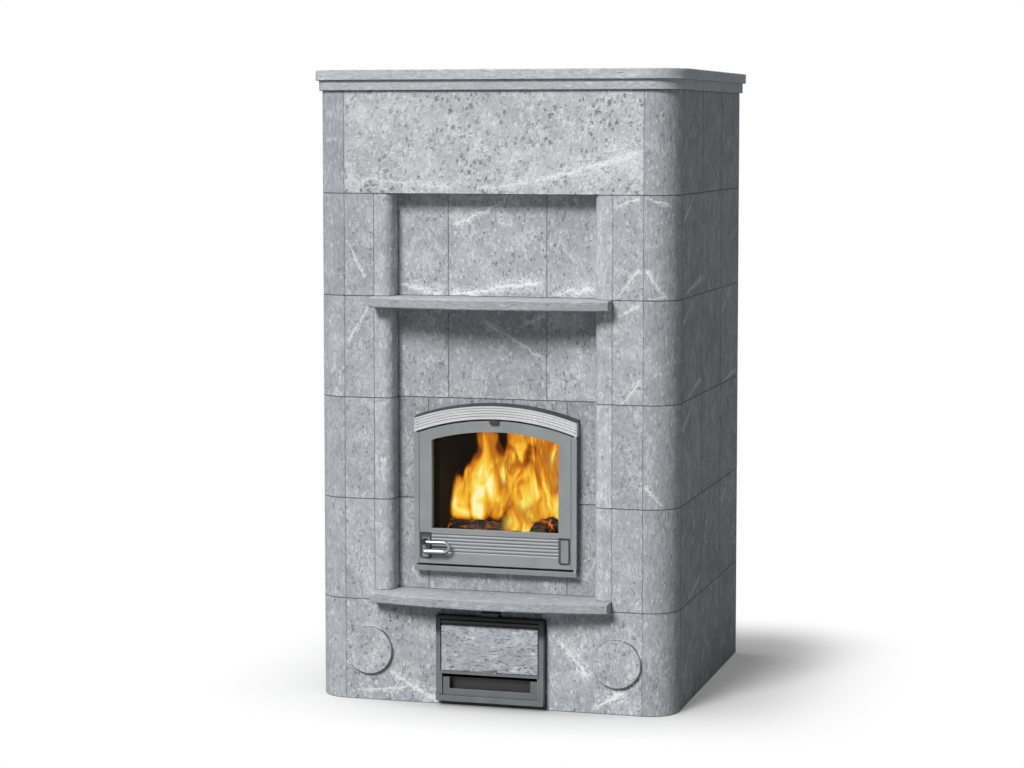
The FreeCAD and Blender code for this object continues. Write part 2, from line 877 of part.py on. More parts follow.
def air_wash_tab():
    leaf_crown = arch_centre + leaf_radius
    bottom = leaf_crown - tab_drop
    top = leaf_crown + hood_gap - tab_headroom
    lip_bottom = leaf_crown + tab_gap
    half = tab_width / 2
    face = block((-half, half), (door_front - tab_gap - tab_thickness, door_front - tab_gap), (bottom, top))
    corners = [edge for edge in face.Edges
               if edge.BoundBox.ZMax < mid(bottom, top) and edge.BoundBox.YLength > tab_gap]
    lower = [edge for edge in corners if edge.BoundBox.XLength < tab_gap]
    face = face.makeFillet(tab_round, lower)
    lip = block((-half, half), (door_front - tab_gap, door_front + tab_lip_depth), (lip_bottom, top))
    return face.fuse(lip).removeSplitter()


# Ash unit

def ash_frame():
    body = block((-ash_half, ash_half), (ash_front, ash_back), (ash_plinth, ash_top))
    wide = (ash_front - overrun, ash_back + overrun)
    split = flap_bottom - flap_clear
    body = body.cut(block((-flap_opening_half, flap_opening_half), wide, (split, ash_top - ash_top_rail)))
    body = body.cut(block((-drawer_opening_half, drawer_opening_half), wide, (ash_floor, split + overrun)))
    nose_y = (ash_front - ash_sill_nose, ash_front)
    nose = block((-ash_half, ash_half), nose_y, (ash_plinth, ash_floor))
    lug = block((ash_half - ash_lug_width, ash_half), nose_y, (ash_floor, ash_floor + ash_lug))
    for piece in [nose] + both_sides([lug]):
        body = body.fuse(piece)
    pin_end = flap_opening_half + flap_pin_bite + flap_pin_end_gap
    slot = block((-air_slot_width / 2, air_slot_width / 2), air_slot_span(),
                 (ash_top - ash_top_rail - overrun, ash_top + overrun))
    return body.cut(flap_pin_hole(pin_end)).cut(slot).removeSplitter()


def air_slot_span():
    near = front_y + air_slot_back
    return (near, near + air_slot_length)


def flap_pin_hole(half):
    return rod_x((-half, half), flap_axis_y, flap_axis_z, flap_pin_radius + running_clearance)


def ash_flap_tray():
    barrel = rod_x((-flap_half, flap_half), flap_axis_y, flap_axis_z, flap_barrel_radius)
    plate = block((-flap_half, flap_half), (flap_back - flap_plate, flap_back), (flap_bottom, flap_axis_z))
    return barrel.fuse(plate).cut(flap_pin_hole(flap_half + overrun)).removeSplitter()


def ash_flap_stone():
    half = flap_half - flap_inlay_margin
    return eased(block((-half, half), (ash_front, flap_back - flap_plate), (inlay_bottom, inlay_top)))


def ash_flap_pull():
    strip = block((-flap_half, flap_half), (ash_front - flap_strip_nose, flap_back - flap_plate),
                  (flap_bottom, inlay_bottom))
    points = [(wedge_right - wedge_run, inlay_bottom), (wedge_right, inlay_bottom),
              (wedge_right, inlay_bottom + wedge_rise)]
    wedge = upright_plate(points, (ash_front - flap_strip_nose, ash_front))
    return strip.fuse(wedge).removeSplitter()


def flap_rivet():
    near = ash_front - flap_strip_nose
    x = wedge_right - 2 * rivet_radius
    dome = rod_y(x, (near - rivet_reach, near), inlay_bottom, rivet_radius)
    rim = [edge for edge in dome.Edges if edge.Closed and edge.CenterOfMass.y < near - rivet_reach / 2]
    return dome.makeFillet(rivet_reach / 2, rim)


def ash_flap_pins():
    x_span = (flap_half - flap_pin_root, flap_opening_half + flap_pin_bite)
    return both_sides([rod_x(x_span, flap_axis_y, flap_axis_z, flap_pin_radius)])


def drawer_front_span():
    near = ash_front + drawer_front_set
    return (near, near + drawer_front_thickness)


def ash_drawer_front():
    half = drawer_opening_half - drawer_clear
    y_span = drawer_front_span()
    plate = block((-half, half), y_span, (drawer_front_bottom, drawer_front_top))
    gap = half - drawer_front_upright
    window = block((-gap, gap), (y_span[0] - overrun, y_span[1] + overrun),
                   (drawer_front_bottom + drawer_front_rail, drawer_front_top + overrun))
    return plate.cut(window)


def ash_drawer_half():
    return drawer_opening_half - drawer_clear - 2 * drawer_wall


def ash_drawer_pan():
    half = ash_drawer_half()
    near = drawer_front_span()[1]
    far = ash_pit_back - drawer_back_gap
    top = drawer_front_top - drawer_wall
    inner = half - drawer_wall
    hollow_z = (drawer_bottom + drawer_wall, top + overrun)
    body = block((-half, half), (near, far), (drawer_bottom, top))
    wall_near = near + drawer_recess
    body = body.cut(block((-inner, inner), (near - overrun, wall_near), hollow_z))
    return body.cut(block((-inner, inner), (wall_near + drawer_wall, far - drawer_wall), hollow_z))


def drawer_runners():
    half = ash_drawer_half() + drawer_clear + runner_wall
    y_span = (niche_back, ash_pit_back - runner_back_gap)
    rail = block((half - runner_width, half), y_span, (floor_slab_thickness, drawer_bottom))
    lip = block((half - runner_wall, half), y_span, (drawer_bottom, drawer_bottom + runner_lip))
    return both_sides([rail.fuse(lip).removeSplitter()])


def air_control_pull():
    half = air_pull_width / 2
    z_low = ash_top + air_clear
    near = front_y - air_pull_reach
    return eased(block((-half, half), (near, near + air_pull_grip), (z_low, z_low + air_pull_height)))


def air_control_bar():
    half = air_bar_width / 2
    near = front_y - air_pull_reach + air_pull_grip
    bar = block((-half, half), (near, near + air_bar_length), (ash_top, ash_top + air_bar_thickness))
    window_y = [y + air_travel for y in air_slot_span()]
    window = block((-air_slot_width / 2, air_slot_width / 2), window_y,
                   (ash_top - overrun, ash_top + air_bar_thickness + overrun))
    return bar.cut(window)


os.makedirs("parts", exist_ok=True)

keep("right_corner_stones", corner_stones())
keep("left_corner_stones", mirrored_all(corner_stones()))
keep("right_side_panels", side_panels())
keep("left_side_panels", mirrored_all(side_panels()))
keep("rear_panels", rear_panels())
keep("rear_flue_panel", [rear_flue_panel()])
keep("flue_collar", [flue_collar()])
keep("right_base_panel", [base_panel()])
keep("left_base_panel", [mirrored(base_panel())])
keep("ash_plinth_stone", [ash_plinth_stone()])
keep("ash_lintel_stone", [ash_lintel_stone()])
keep("hearth_shelf", [shelf(hearth_top)])
keep("mantel_shelf", [shelf(mantel_top)])
keep("front_panels", both_sides(front_panels()))
keep("jamb_stones", jamb_stones())
keep("door_surround_stones", door_surround_stones())
keep("niche_panels", niche_panels())
keep("top_lintel_panel", [top_lintel_panel()])
keep("lower_cornice_slabs", cornice_slabs(0, lower_cornice_shares))
keep("upper_cornice_slabs", cornice_slabs(1, upper_cornice_shares))

keep("floor_slab", [floor_slab()])
keep("footing_stones", both_sides(footing_stones()))
keep("ash_pit_back_stone", [ash_pit_back_stone()])
keep("hearth_floor_stones", hearth_floor_stones())
keep("grate", [grate()])
keep("firebox_stones", firebox_stones())
keep("throat_stones", throat_stones())
keep("chamber_stones", chamber_stones())
keep("core_top_slab", [core_top_slab()])
keep("insulation_boards", insulation_boards())
keep("expansion_strips", expansion_strips())

keep("right_cleaning_plug", [cleaning_plug()])
keep("left_cleaning_plug", [mirrored(cleaning_plug())])

keep("door_frame", [door_frame()])
keep("door_hood", [door_hood()])
keep("door_sill_bar", [door_sill_bar()])
keep("latch_striker", [latch_striker()])
keep("door_leaf", [door_leaf()])
keep("door_hinge_pins", door_hinge_pins())
keep("glass_gasket", [glass_gasket()])
keep("door_glass", [door_glass()])
keep("glass_clips", glass_clips())
keep("clip_screws", clip_screws())
keep("door_seal", [door_seal()])
keep("handle_escutcheon", [handle_escutcheon()])
keep("blank_plate", [blank_plate()])
keep("door_handle", [door_handle()])
keep("latch_spindle", [latch_spindle()])
keep("air_wash_tab", [air_wash_tab()])

keep("ash_frame", [ash_frame()])
keep("ash_flap_tray", [ash_flap_tray()])
keep("ash_flap_stone", [ash_flap_stone()])
keep("ash_flap_pull", [ash_flap_pull()])
keep("ash_flap_rivet", [flap_rivet()])
keep("ash_flap_pins", ash_flap_pins())
keep("ash_drawer_front", [ash_drawer_front()])
keep("ash_drawer_pan", [ash_drawer_pan()])
keep("drawer_runners", drawer_runners())
keep("air_control_pull", [air_control_pull()])
keep("air_control_bar", [air_control_bar()])
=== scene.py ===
import bmesh
import bpy
import math
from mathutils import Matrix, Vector, noise


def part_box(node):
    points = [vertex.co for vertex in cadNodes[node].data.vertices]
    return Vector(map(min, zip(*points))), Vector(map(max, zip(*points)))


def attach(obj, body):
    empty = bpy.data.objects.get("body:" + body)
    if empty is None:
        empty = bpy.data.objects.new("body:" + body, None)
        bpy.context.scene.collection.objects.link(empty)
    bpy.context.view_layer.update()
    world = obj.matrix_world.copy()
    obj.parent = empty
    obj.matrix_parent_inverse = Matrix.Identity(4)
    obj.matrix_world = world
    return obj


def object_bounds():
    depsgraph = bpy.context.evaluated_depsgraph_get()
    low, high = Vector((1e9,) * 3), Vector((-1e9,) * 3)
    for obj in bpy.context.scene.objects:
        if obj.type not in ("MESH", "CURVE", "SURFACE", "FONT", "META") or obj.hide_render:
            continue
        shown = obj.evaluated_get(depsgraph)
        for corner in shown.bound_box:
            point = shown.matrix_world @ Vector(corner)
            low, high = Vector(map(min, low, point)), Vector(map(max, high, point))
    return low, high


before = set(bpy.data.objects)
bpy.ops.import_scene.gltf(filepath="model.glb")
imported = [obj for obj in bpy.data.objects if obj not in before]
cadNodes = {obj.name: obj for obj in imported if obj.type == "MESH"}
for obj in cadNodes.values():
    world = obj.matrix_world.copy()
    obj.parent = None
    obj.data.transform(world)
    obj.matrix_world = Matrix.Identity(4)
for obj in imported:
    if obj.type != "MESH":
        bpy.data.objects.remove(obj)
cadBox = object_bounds()
heaterBody = "heater"
print("frame loaded:", len(cadNodes), "nodes")


# Small tools for shader trees

def blankMaterial(name):
    material = bpy.data.materials.new(name)
    material.use_nodes = True
    material.node_tree.nodes.clear()
    return material, material.node_tree


def put(tree, kind, values=None, **settings):
    made = tree.nodes.new("ShaderNode" + kind)
    for name, value in settings.items():
        setattr(made, name, value)
    for key, value in (values or {}).items():
        if isinstance(value, bpy.types.NodeSocket):
            tree.links.new(value, made.inputs[key])
        else:
            made.inputs[key].default_value = value
    return made


def rgb(color):
    return (*color, 1.0)


def calc(tree, operation, first, second=0.0):
    return put(tree, "Math", {0: first, 1: second}, operation=operation).outputs[0]


def times(tree, first, second):
    return calc(tree, "MULTIPLY", first, second)


def larger(tree, first, second):
    return calc(tree, "MAXIMUM", first, second)


def addTo(tree, base, field, share):
    return calc(tree, "ADD", base, times(tree, field, share))


def takeFrom(tree, base, field, share):
    return calc(tree, "SUBTRACT", base, times(tree, field, share))


def farFrom(tree, field, middle):
    return calc(tree, "ABSOLUTE", calc(tree, "SUBTRACT", field, middle))


def vec(tree, operation, first, second=(0.0, 0.0, 0.0)):
    made = put(tree, "VectorMath", {0: first, 1: second}, operation=operation)
    return made.outputs["Value" if operation in ("DOT_PRODUCT", "LENGTH") else "Vector"]


def blend(tree, share, first, second):
    return put(tree, "Mix", {0: share, 6: first, 7: second}, data_type="RGBA").outputs[2]


def tinted(tree, body, color, field, share):  # color laid over body where the field is
    return blend(tree, times(tree, field, share), body, rgb(color))


def axes(tree, vector):
    return put(tree, "SeparateXYZ", {0: vector}).outputs


def rise(tree, value, low, high):  # smooth step from 0 at low to 1 at high
    return put(tree, "MapRange", {0: value, 1: low, 2: high}, interpolation_type="SMOOTHSTEP").outputs[0]


def fall(tree, value, low, high):
    return calc(tree, "SUBTRACT", 1.0, rise(tree, value, low, high))


def cloud(tree, vector, scale, detail=4.0, roughness=0.55, distortion=0.0):
    values = {"Vector": vector, "Scale": scale, "Detail": detail, "Roughness": roughness,
              "Distortion": distortion}
    return put(tree, "TexNoise", values).outputs[0]


def stretched(tree, vector, scale, turn=(0.0, 0.0, 0.0)):
    return put(tree, "Mapping", {"Vector": vector, "Scale": scale, "Rotation": turn}).outputs[0]


def brighter(tree, color, factor):
    return put(tree, "HueSaturation", {"Value": factor, "Color": color}).outputs[0]


def swing(tree, field, amount):  # 1 plus or minus amount as field runs from 0 to 1
    return calc(tree, "ADD", times(tree, field, 2.0 * amount), 1.0 - amount)


def objectPlace(tree):
    return put(tree, "TexCoord").outputs["Object"]


def surfaceNormal(tree):
    return put(tree, "NewGeometry").outputs["Normal"]


def edgeWear(tree, radius):  # 1 along the sharp edges
    soft = put(tree, "Bevel", {"Radius": radius}, samples=4).outputs[0]
    turn = calc(tree, "SUBTRACT", 1.0, vec(tree, "DOT_PRODUCT", soft, surfaceNormal(tree)))
    return rise(tree, turn, 0.03, 0.22)


def facingUp(tree):  # 1 on level tops, -1 on undersides
    return axes(tree, surfaceNormal(tree))["Z"]


def shade(tree, color, roughness, height=None, depth=0.0006, strength=0.6, **sockets):
    values = {"Base Color": color, "Roughness": roughness}
    values.update({name.replace("_", " "): value for name, value in sockets.items()})
    if height is not None:
        bump = put(tree, "Bump", {"Strength": strength, "Distance": depth, "Height": height})
        values["Normal"] = bump.outputs[0]
    surface = put(tree, "BsdfPrincipled", values)
    put(tree, "OutputMaterial", {"Surface": surface.outputs[0]})


# Soapstone: grey with dark flecks, pale wisps and white veins, sawn with the grain several ways

stoneKinds = {
    "panel": {"dark": (0.400, 0.412, 0.446), "light": (0.480, 0.495, 0.530), "grain": 0.58, "ripple": 0.012,
              "grainScale": (112.0, 112.0, 84.0), "fleckStretch": (1.0, 1.0, 0.60),
              "fleckTurn": (0.0, 0.45, 0.0), "bigScale": 62.0, "bigFleck": 0.14, "skin": 0.0,
              "smallScale": 104.0, "smallFleck": 0.42, "fleckDepth": 0.62, "glint": 0.68,
              "bloom": 0.18, "wisp": 0.60, "vein": 0.85, "joint": 0.50, "bump": 0.0030},
    "lintel": {"dark": (0.475, 0.488, 0.515), "light": (0.565, 0.580, 0.607), "grain": 0.52, "ripple": 0.012,
               "grainScale": (105.0, 105.0, 84.0), "fleckStretch": (0.85, 1.0, 0.62),
               "fleckTurn": (0.0, -0.6, 0.0), "bigScale": 62.0, "bigFleck": 0.52, "skin": 1.0,
               "smallScale": 100.0, "smallFleck": 0.44, "fleckDepth": 0.88, "glint": 0.92,
               "bloom": 0.45, "wisp": 0.95, "vein": 0.25, "joint": 0.50, "bump": 0.0030},
    "post": {"dark": (0.362, 0.375, 0.405), "light": (0.427, 0.442, 0.476), "grain": 0.62, "ripple": 0.007,
             "grainScale": (125.0, 125.0, 46.0), "fleckStretch": (1.0, 1.0, 0.50),
             "fleckTurn": (0.0, 0.05, 0.0), "bigScale": 72.0, "bigFleck": 0.0, "skin": 0.0,
             "smallScale": 116.0, "smallFleck": 0.24, "fleckDepth": 0.36, "glint": 0.46,
             "bloom": 0.15, "wisp": 0.40, "vein": 0.60, "joint": 0.55, "bump": 0.0028},
    "side": {"dark": (0.330, 0.345, 0.380), "light": (0.402, 0.419, 0.457), "grain": 0.66, "ripple": 0.006,
             "grainScale": (120.0, 120.0, 24.0), "fleckStretch": (1.0, 1.0, 0.36),
             "fleckTurn": (0.05, 0.0, 0.0), "bigScale": 72.0, "bigFleck": 0.0, "skin": 0.0,
             "smallScale": 116.0, "smallFleck": 0.30, "fleckDepth": 0.40, "glint": 0.46,
             "bloom": 0.20, "wisp": 0.50, "vein": 1.0, "joint": 0.85, "bump": 0.0030},
    "slab": {"dark": (0.420, 0.435, 0.465), "light": (0.460, 0.475, 0.507), "grain": 0.56, "ripple": 0.003,
             "grainScale": (62.0, 62.0, 180.0), "fleckStretch": (0.34, 0.34, 1.0),
             "fleckTurn": (0.0, 0.0, 0.0), "bigScale": 72.0, "bigFleck": 0.0, "skin": 0.0,
             "smallScale": 130.0, "smallFleck": 0.28, "fleckDepth": 0.34, "glint": 0.34,
             "bloom": 0.06, "wisp": 0.06, "vein": 0.05, "joint": 0.50, "bump": 0.0016},
    "inlay": {"dark": (0.420, 0.436, 0.478), "light": (0.490, 0.511, 0.558), "grain": 0.90, "ripple": 0.008,
              "grainScale": (72.0, 72.0, 140.0), "fleckStretch": (0.36, 0.36, 1.0),
              "fleckTurn": (0.0, -0.15, 0.0), "bigScale": 72.0, "bigFleck": 0.0, "skin": 0.0,
              "smallScale": 150.0, "smallFleck": 0.56, "fleckDepth": 0.85, "glint": 0.85,
              "bloom": 0.20, "wisp": 0.60, "vein": 0.0, "joint": 0.50, "bump": 0.0034},
}
stoneKinds["front"] = {**stoneKinds["panel"], "smallFleck": 0.34, "fleckDepth": 0.46, "glint": 0.46}
stoneKinds["base"] = {**stoneKinds["panel"], "smallFleck": 0.50, "fleckDepth": 0.82, "glint": 0.82,
                      "bloom": 0.10}
stoneTints = {"fleck": (0.17, 0.18, 0.205), "wisp": (0.79, 0.803, 0.825), "vein": (0.87, 0.877, 0.89),
              "joint": (0.13, 0.135, 0.145), "arris": (0.66, 0.68, 0.71)}
veinPlan = {  # drawn veins: x (y on the sides) and z of both ends, width at the far end, waviness
    "top_lintel_panel": [
        (-0.06, 1.512, 0.118, 1.534, 0.007, 0.03), (0.10, 1.530, 0.452, 1.622, 0.019, 0.035),
        (-0.40, 1.545, -0.11, 1.520, 0.004, 0.06)],
    "front_panels": [
        (-0.445, 1.368, -0.385, 1.250, 0.0025, 0.012), (-0.375, 1.170, -0.442, 1.060, 0.0035, 0.02),
        (0.372, 1.207, 0.440, 1.290, 0.0035, 0.03), (0.385, 0.897, 0.442, 0.975, 0.0035, 0.03),
        (0.370, 1.465, 0.440, 1.492, 0.0035, 0.03), (0.372, 1.150, 0.440, 1.192, 0.003, 0.03)],
    "right_corner_stones": [
        (0.512, 1.205, 0.456, 1.290, 0.0035, 0.03), (0.505, 0.61, 0.455, 0.67, 0.003, 0.03),
        (0.455, 1.492, 0.520, 1.470, 0.0035, 0.03), (0.460, 1.205, 0.515, 1.212, 0.0025, 0.02)],
    "right_side_panels": [
        (-0.212, 1.495, -0.371, 1.422, 0.003, 0.03), (-0.326, 1.214, -0.101, 1.249, 0.004, 0.03),
        (-0.212, 1.195, -0.371, 1.125, 0.003, 0.03), (0.335, 1.190, 0.209, 1.120, 0.003, 0.03),
        (-0.303, 0.905, -0.100, 0.950, 0.004, 0.03), (0.209, 0.903, 0.440, 0.922, 0.003, 0.03),
        (-0.212, 0.890, -0.371, 0.815, 0.003, 0.03), (0.335, 0.590, 0.209, 0.520, 0.003, 0.03),
        (-0.303, 0.305, -0.100, 0.350, 0.004, 0.03)],
    "niche_panels": [
        (-0.140, 1.205, 0.140, 1.247, 0.008, 0.045), (0.025, 1.480, -0.135, 1.408, 0.006, 0.05),
        (0.145, 1.020, -0.045, 1.128, 0.004, 0.03), (0.160, 1.206, 0.296, 1.232, 0.009, 0.07),
        (-0.300, 1.232, -0.165, 1.206, 0.008, 0.07), (-0.145, 1.214, -0.05, 1.204, 0.009, 0.05),
        (0.060, 1.110, 0.150, 1.150, 0.005, 0.05)],
    "left_base_panel": [
        (-0.325, 0.092, -0.160, 0.004, 0.013, 0.05), (-0.44, 0.02, -0.26, 0.045, 0.005, 0.04)],
    "right_base_panel": [
        (0.300, 0.010, 0.400, 0.070, 0.010, 0.05), (0.18, 0.235, 0.30, 0.10, 0.006, 0.06)],
}
veinMix = {"shake": 32.0, "crumbs": 110.0, "lace": 70.0, "thinEnd": 0.3, "frondFrom": 1.5, "frondTo": 4.2,
           "frond": 0.80}
stoneMix = {  # scales of the clouds in the stone, then veins, joints, edges and shine
    "ripple": 60.0, "body": 8.0, "zone": 13.0, "chip": 150.0, "chipReach": 0.008, "skin": 85.0,
    "bloom": (9.0, 9.0, 15.0), "thread": (58.0, 58.0, 40.0), "wispPatch": 15.0, "veinRate": 2.4,
    "veinBend": 4.0, "veinSwing": 1.3, "veinPatch": 6.0, "bedJoint": 0.85, "seam": 0.85, "seamFrom": 0.0034,
    "seamTo": 0.0010, "arris": 0.35, "arrisReach": 0.002, "toneSwing": 0.05, "rough": 0.66,
    "grainRough": 0.2, "shine": 0.10,
}
crystalMix = {"heart": 0.28, "rim": 0.62, "paleFrom": 0.16, "paleTo": 0.28, "skinAt": 0.66, "calm": 0.35,
              "stoneSwing": 0.35, "hollow": 0.7, "proud": 0.4}
oneStone = (9.0, 9.0, 9.0)
courseCell = 0.30


def drawnVein(tree, place, plan):
    fromX, fromZ, toX, toZ, width, wave = plan
    runX, runZ = toX - fromX, toZ - fromZ
    length = math.hypot(runX, runZ)
    reach = vec(tree, "SUBTRACT", place, (fromX, 0.0, fromZ))
    along = vec(tree, "DOT_PRODUCT", reach, (runX / length ** 2, 0.0, runZ / length ** 2))
    across = vec(tree, "DOT_PRODUCT", reach, (runZ / length, 0.0, -runX / length))
    shake = calc(tree, "SUBTRACT", cloud(tree, place, veinMix["shake"], 8.0, 0.72), 0.5)
    shake = times(tree, shake, wave)
    across = calc(tree, "ABSOLUTE", calc(tree, "ADD", across, shake))
    swell = times(tree, rise(tree, along, 0.0, 1.0), 1.0 - veinMix["thinEnd"])
    swell = calc(tree, "ADD", veinMix["thinEnd"], swell)
    across = calc(tree, "DIVIDE", across, swell)
    ends = times(tree, rise(tree, along, -0.05, 0.12), fall(tree, along, 0.90, 1.04))
    crumbs = cloud(tree, place, veinMix["crumbs"], 4.0, 0.7)
    lace = cloud(tree, place, veinMix["lace"], 4.0, 0.62, 0.6)
    lace = fall(tree, farFrom(tree, lace, 0.5), 0.012, 0.060)
    line = times(tree, fall(tree, across, 0.2 * width, width), rise(tree, crumbs, 0.26, 0.46))
    frond = fall(tree, across, veinMix["frondFrom"] * width, veinMix["frondTo"] * width)
    frond = times(tree, times(tree, frond, lace), veinMix["frond"])
    line = larger(tree, line, frond)
    return times(tree, line, ends)


def soapstone(node, kind, cells, tone, seed):
    look = stoneKinds[kind]
    cell, start = cells
    material, tree = blankMaterial("soapstone_" + node)
    place = objectPlace(tree)
    # each stone of the node is cut from its own patch of the block
    count = vec(tree, "FLOOR", vec(tree, "DIVIDE", vec(tree, "SUBTRACT", place, start), cell))
    draw = put(tree, "TexWhiteNoise", {"Vector": vec(tree, "ADD", count, (seed, 1.7 * seed, -seed))},
               noise_dimensions="3D")
    patch = vec(tree, "ADD", place, vec(tree, "MULTIPLY", draw.outputs["Color"], oneStone))
    ripple = put(tree, "TexNoise", {"Vector": patch, "Scale": stoneMix["ripple"], "Detail": 2.0})
    bent = vec(tree, "ADD", patch, vec(tree, "MULTIPLY", ripple.outputs["Color"], (look["ripple"],) * 3))
    body = blend(tree, rise(tree, cloud(tree, patch, stoneMix["body"], 6.0, 0.62), 0.30, 0.70),
                 rgb(look["dark"]), rgb(look["light"]))
    grain = cloud(tree, stretched(tree, bent, look["grainScale"]), 1.0, 4.0, 0.75)
    body = brighter(tree, body, swing(tree, grain, look["grain"]))
    leaning = stretched(tree, bent, look["fleckStretch"], look["fleckTurn"])
    zone = rise(tree, cloud(tree, patch, stoneMix["zone"], 3.0), 0.36, 0.60)
    chip = put(tree, "TexNoise", {"Vector": patch, "Scale": stoneMix["chip"], "Detail": 2.0})
    shard = vec(tree, "MULTIPLY", chip.outputs["Color"], (stoneMix["chipReach"],) * 3)
    shard = vec(tree, "ADD", leaning, shard)
    fleck, glint = None, None
    for scale, share, skin in ((look["bigScale"], look["bigFleck"], look["skin"]),
                               (look["smallScale"], look["smallFleck"], 0.0)):
        crystal = put(tree, "TexVoronoi", {"Vector": shard, "Scale": scale}, distance="MANHATTAN")
        lot = put(tree, "SeparateColor", {0: crystal.outputs["Color"]}).outputs[0]
        spot = fall(tree, crystal.outputs["Distance"], crystalMix["heart"], crystalMix["rim"])
        dark = times(tree, spot, rise(tree, lot, 1.0 - share, 1.08 - share))
        pale = times(tree, spot, fall(tree, lot, crystalMix["paleFrom"], crystalMix["paleTo"]))
        if skin:  # big lenses have a broken pale skin
            off = farFrom(tree, crystal.outputs["Distance"], crystalMix["skinAt"])
            torn = rise(tree, cloud(tree, patch, stoneMix["skin"]), 0.44, 0.60)
            rim = times(tree, fall(tree, off, 0.03, 0.15), torn)
            pale = larger(tree, pale, times(tree, rim, skin))
        fleck = dark if fleck is None else larger(tree, fleck, dark)
        glint = pale if glint is None else larger(tree, glint, pale)
    fleck = times(tree, fleck, addTo(tree, crystalMix["calm"], zone, 1.0 - crystalMix["calm"]))
    depth = times(tree, swing(tree, draw.outputs["Value"], crystalMix["stoneSwing"]), look["fleckDepth"])
    body = tinted(tree, body, stoneTints["fleck"], fleck, depth)
    body = tinted(tree, body, stoneTints["wisp"], glint, look["glint"])
    bloom = rise(tree, cloud(tree, stretched(tree, patch, stoneMix["bloom"]), 1.0, 5.0, 0.6), 0.50, 0.74)
    body = tinted(tree, body, stoneTints["wisp"], bloom, look["bloom"])
    thread = cloud(tree, stretched(tree, leaning, stoneMix["thread"]), 1.0, 4.0, 0.65, 0.8)
    wisp = fall(tree, farFrom(tree, thread, 0.5), 0.008, 0.055)
    wispy = rise(tree, cloud(tree, patch, stoneMix["wispPatch"], 3.0, 0.6), 0.42, 0.60)
    wisp = times(tree, wisp, wispy)
    body = tinted(tree, body, stoneTints["wisp"], wisp, look["wisp"])
    # long veins follow planes through the block, a new lie for each stone
    lie = vec(tree, "NORMALIZE", vec(tree, "SUBTRACT", draw.outputs["Color"], (0.5, 0.5, 0.5)))
    run = times(tree, vec(tree, "DOT_PRODUCT", patch, lie), stoneMix["veinRate"])
    bend = times(tree, cloud(tree, patch, stoneMix["veinBend"], 7.0, 0.62), stoneMix["veinSwing"])
    run = calc(tree, "ADD", run, bend)
    gap = farFrom(tree, calc(tree, "FRACT", run), 0.5)
    vein = times(tree, fall(tree, gap, 0.001, 0.010),
                rise(tree, cloud(tree, patch, stoneMix["veinPatch"], 3.0, 0.6), 0.47, 0.60))
    vein = times(tree, vein, look["vein"])
    face = place
    if kind == "side":  # drawn veins run along y there
        parts = axes(tree, place)
        face = put(tree, "CombineXYZ", {0: parts["Y"], 1: parts["X"], 2: parts["Z"]}).outputs[0]
    for plan in veinPlan.get(node, []):
        vein = larger(tree, vein, drawnVein(tree, face, plan))
    body = blend(tree, vein, body, rgb(stoneTints["vein"]))
    body = brighter(tree, body, times(tree, swing(tree, draw.outputs["Value"], stoneMix["toneSwing"]), tone))
    turn = axes(tree, vec(tree, "ABSOLUTE", surfaceNormal(tree)))
    if kind == "slab":
        worn = times(tree, edgeWear(tree, stoneMix["arrisReach"]), stoneMix["arris"])
        body = blend(tree, worn, body, rgb(stoneTints["arris"]))
    else:  # the small chamfers read as dark joints
        if kind == "post":
            joint = times(tree, rise(tree, turn["Z"], 0.20, 0.45),
                         fall(tree, turn["Z"], 0.88, 0.98))
        else:
            flat = larger(tree, larger(tree, turn["X"], turn["Y"]),
                        turn["Z"])
            joint = fall(tree, flat, 0.80, 0.95)
        bed = rise(tree, turn["Z"], 0.30, 0.60)
        level = times(tree, bed, stoneMix["bedJoint"] - look["joint"])
        level = calc(tree, "ADD", look["joint"], level)
        body = tinted(tree, body, stoneTints["joint"], joint, level)
    if kind == "side":  # joint filler smeared along the upright joints
        share = vec(tree, "FRACTION", vec(tree, "DIVIDE", vec(tree, "SUBTRACT", place, start), cell))
        off = vec(tree, "ABSOLUTE", vec(tree, "SUBTRACT", share, (0.5, 0.5, 0.5)))
        off = axes(tree, off)
        for axis, length in zip("XY", cell):
            if length < 1.0:
                seam = rise(tree, off[axis], 0.5 - stoneMix["seamFrom"] / length,
                            0.5 - stoneMix["seamTo"] / length)
                seam = times(tree, seam, stoneMix["seam"])
                body = blend(tree, seam, body, rgb(stoneTints["joint"]))
    height = takeFrom(tree, grain, fleck, crystalMix["hollow"])
    height = addTo(tree, height, glint, crystalMix["proud"])
    rough = addTo(tree, stoneMix["rough"], grain, stoneMix["grainRough"])
    shade(tree, body, rough, height, look["bump"], 0.8, Specular_IOR_Level=stoneMix["shine"])
    return material


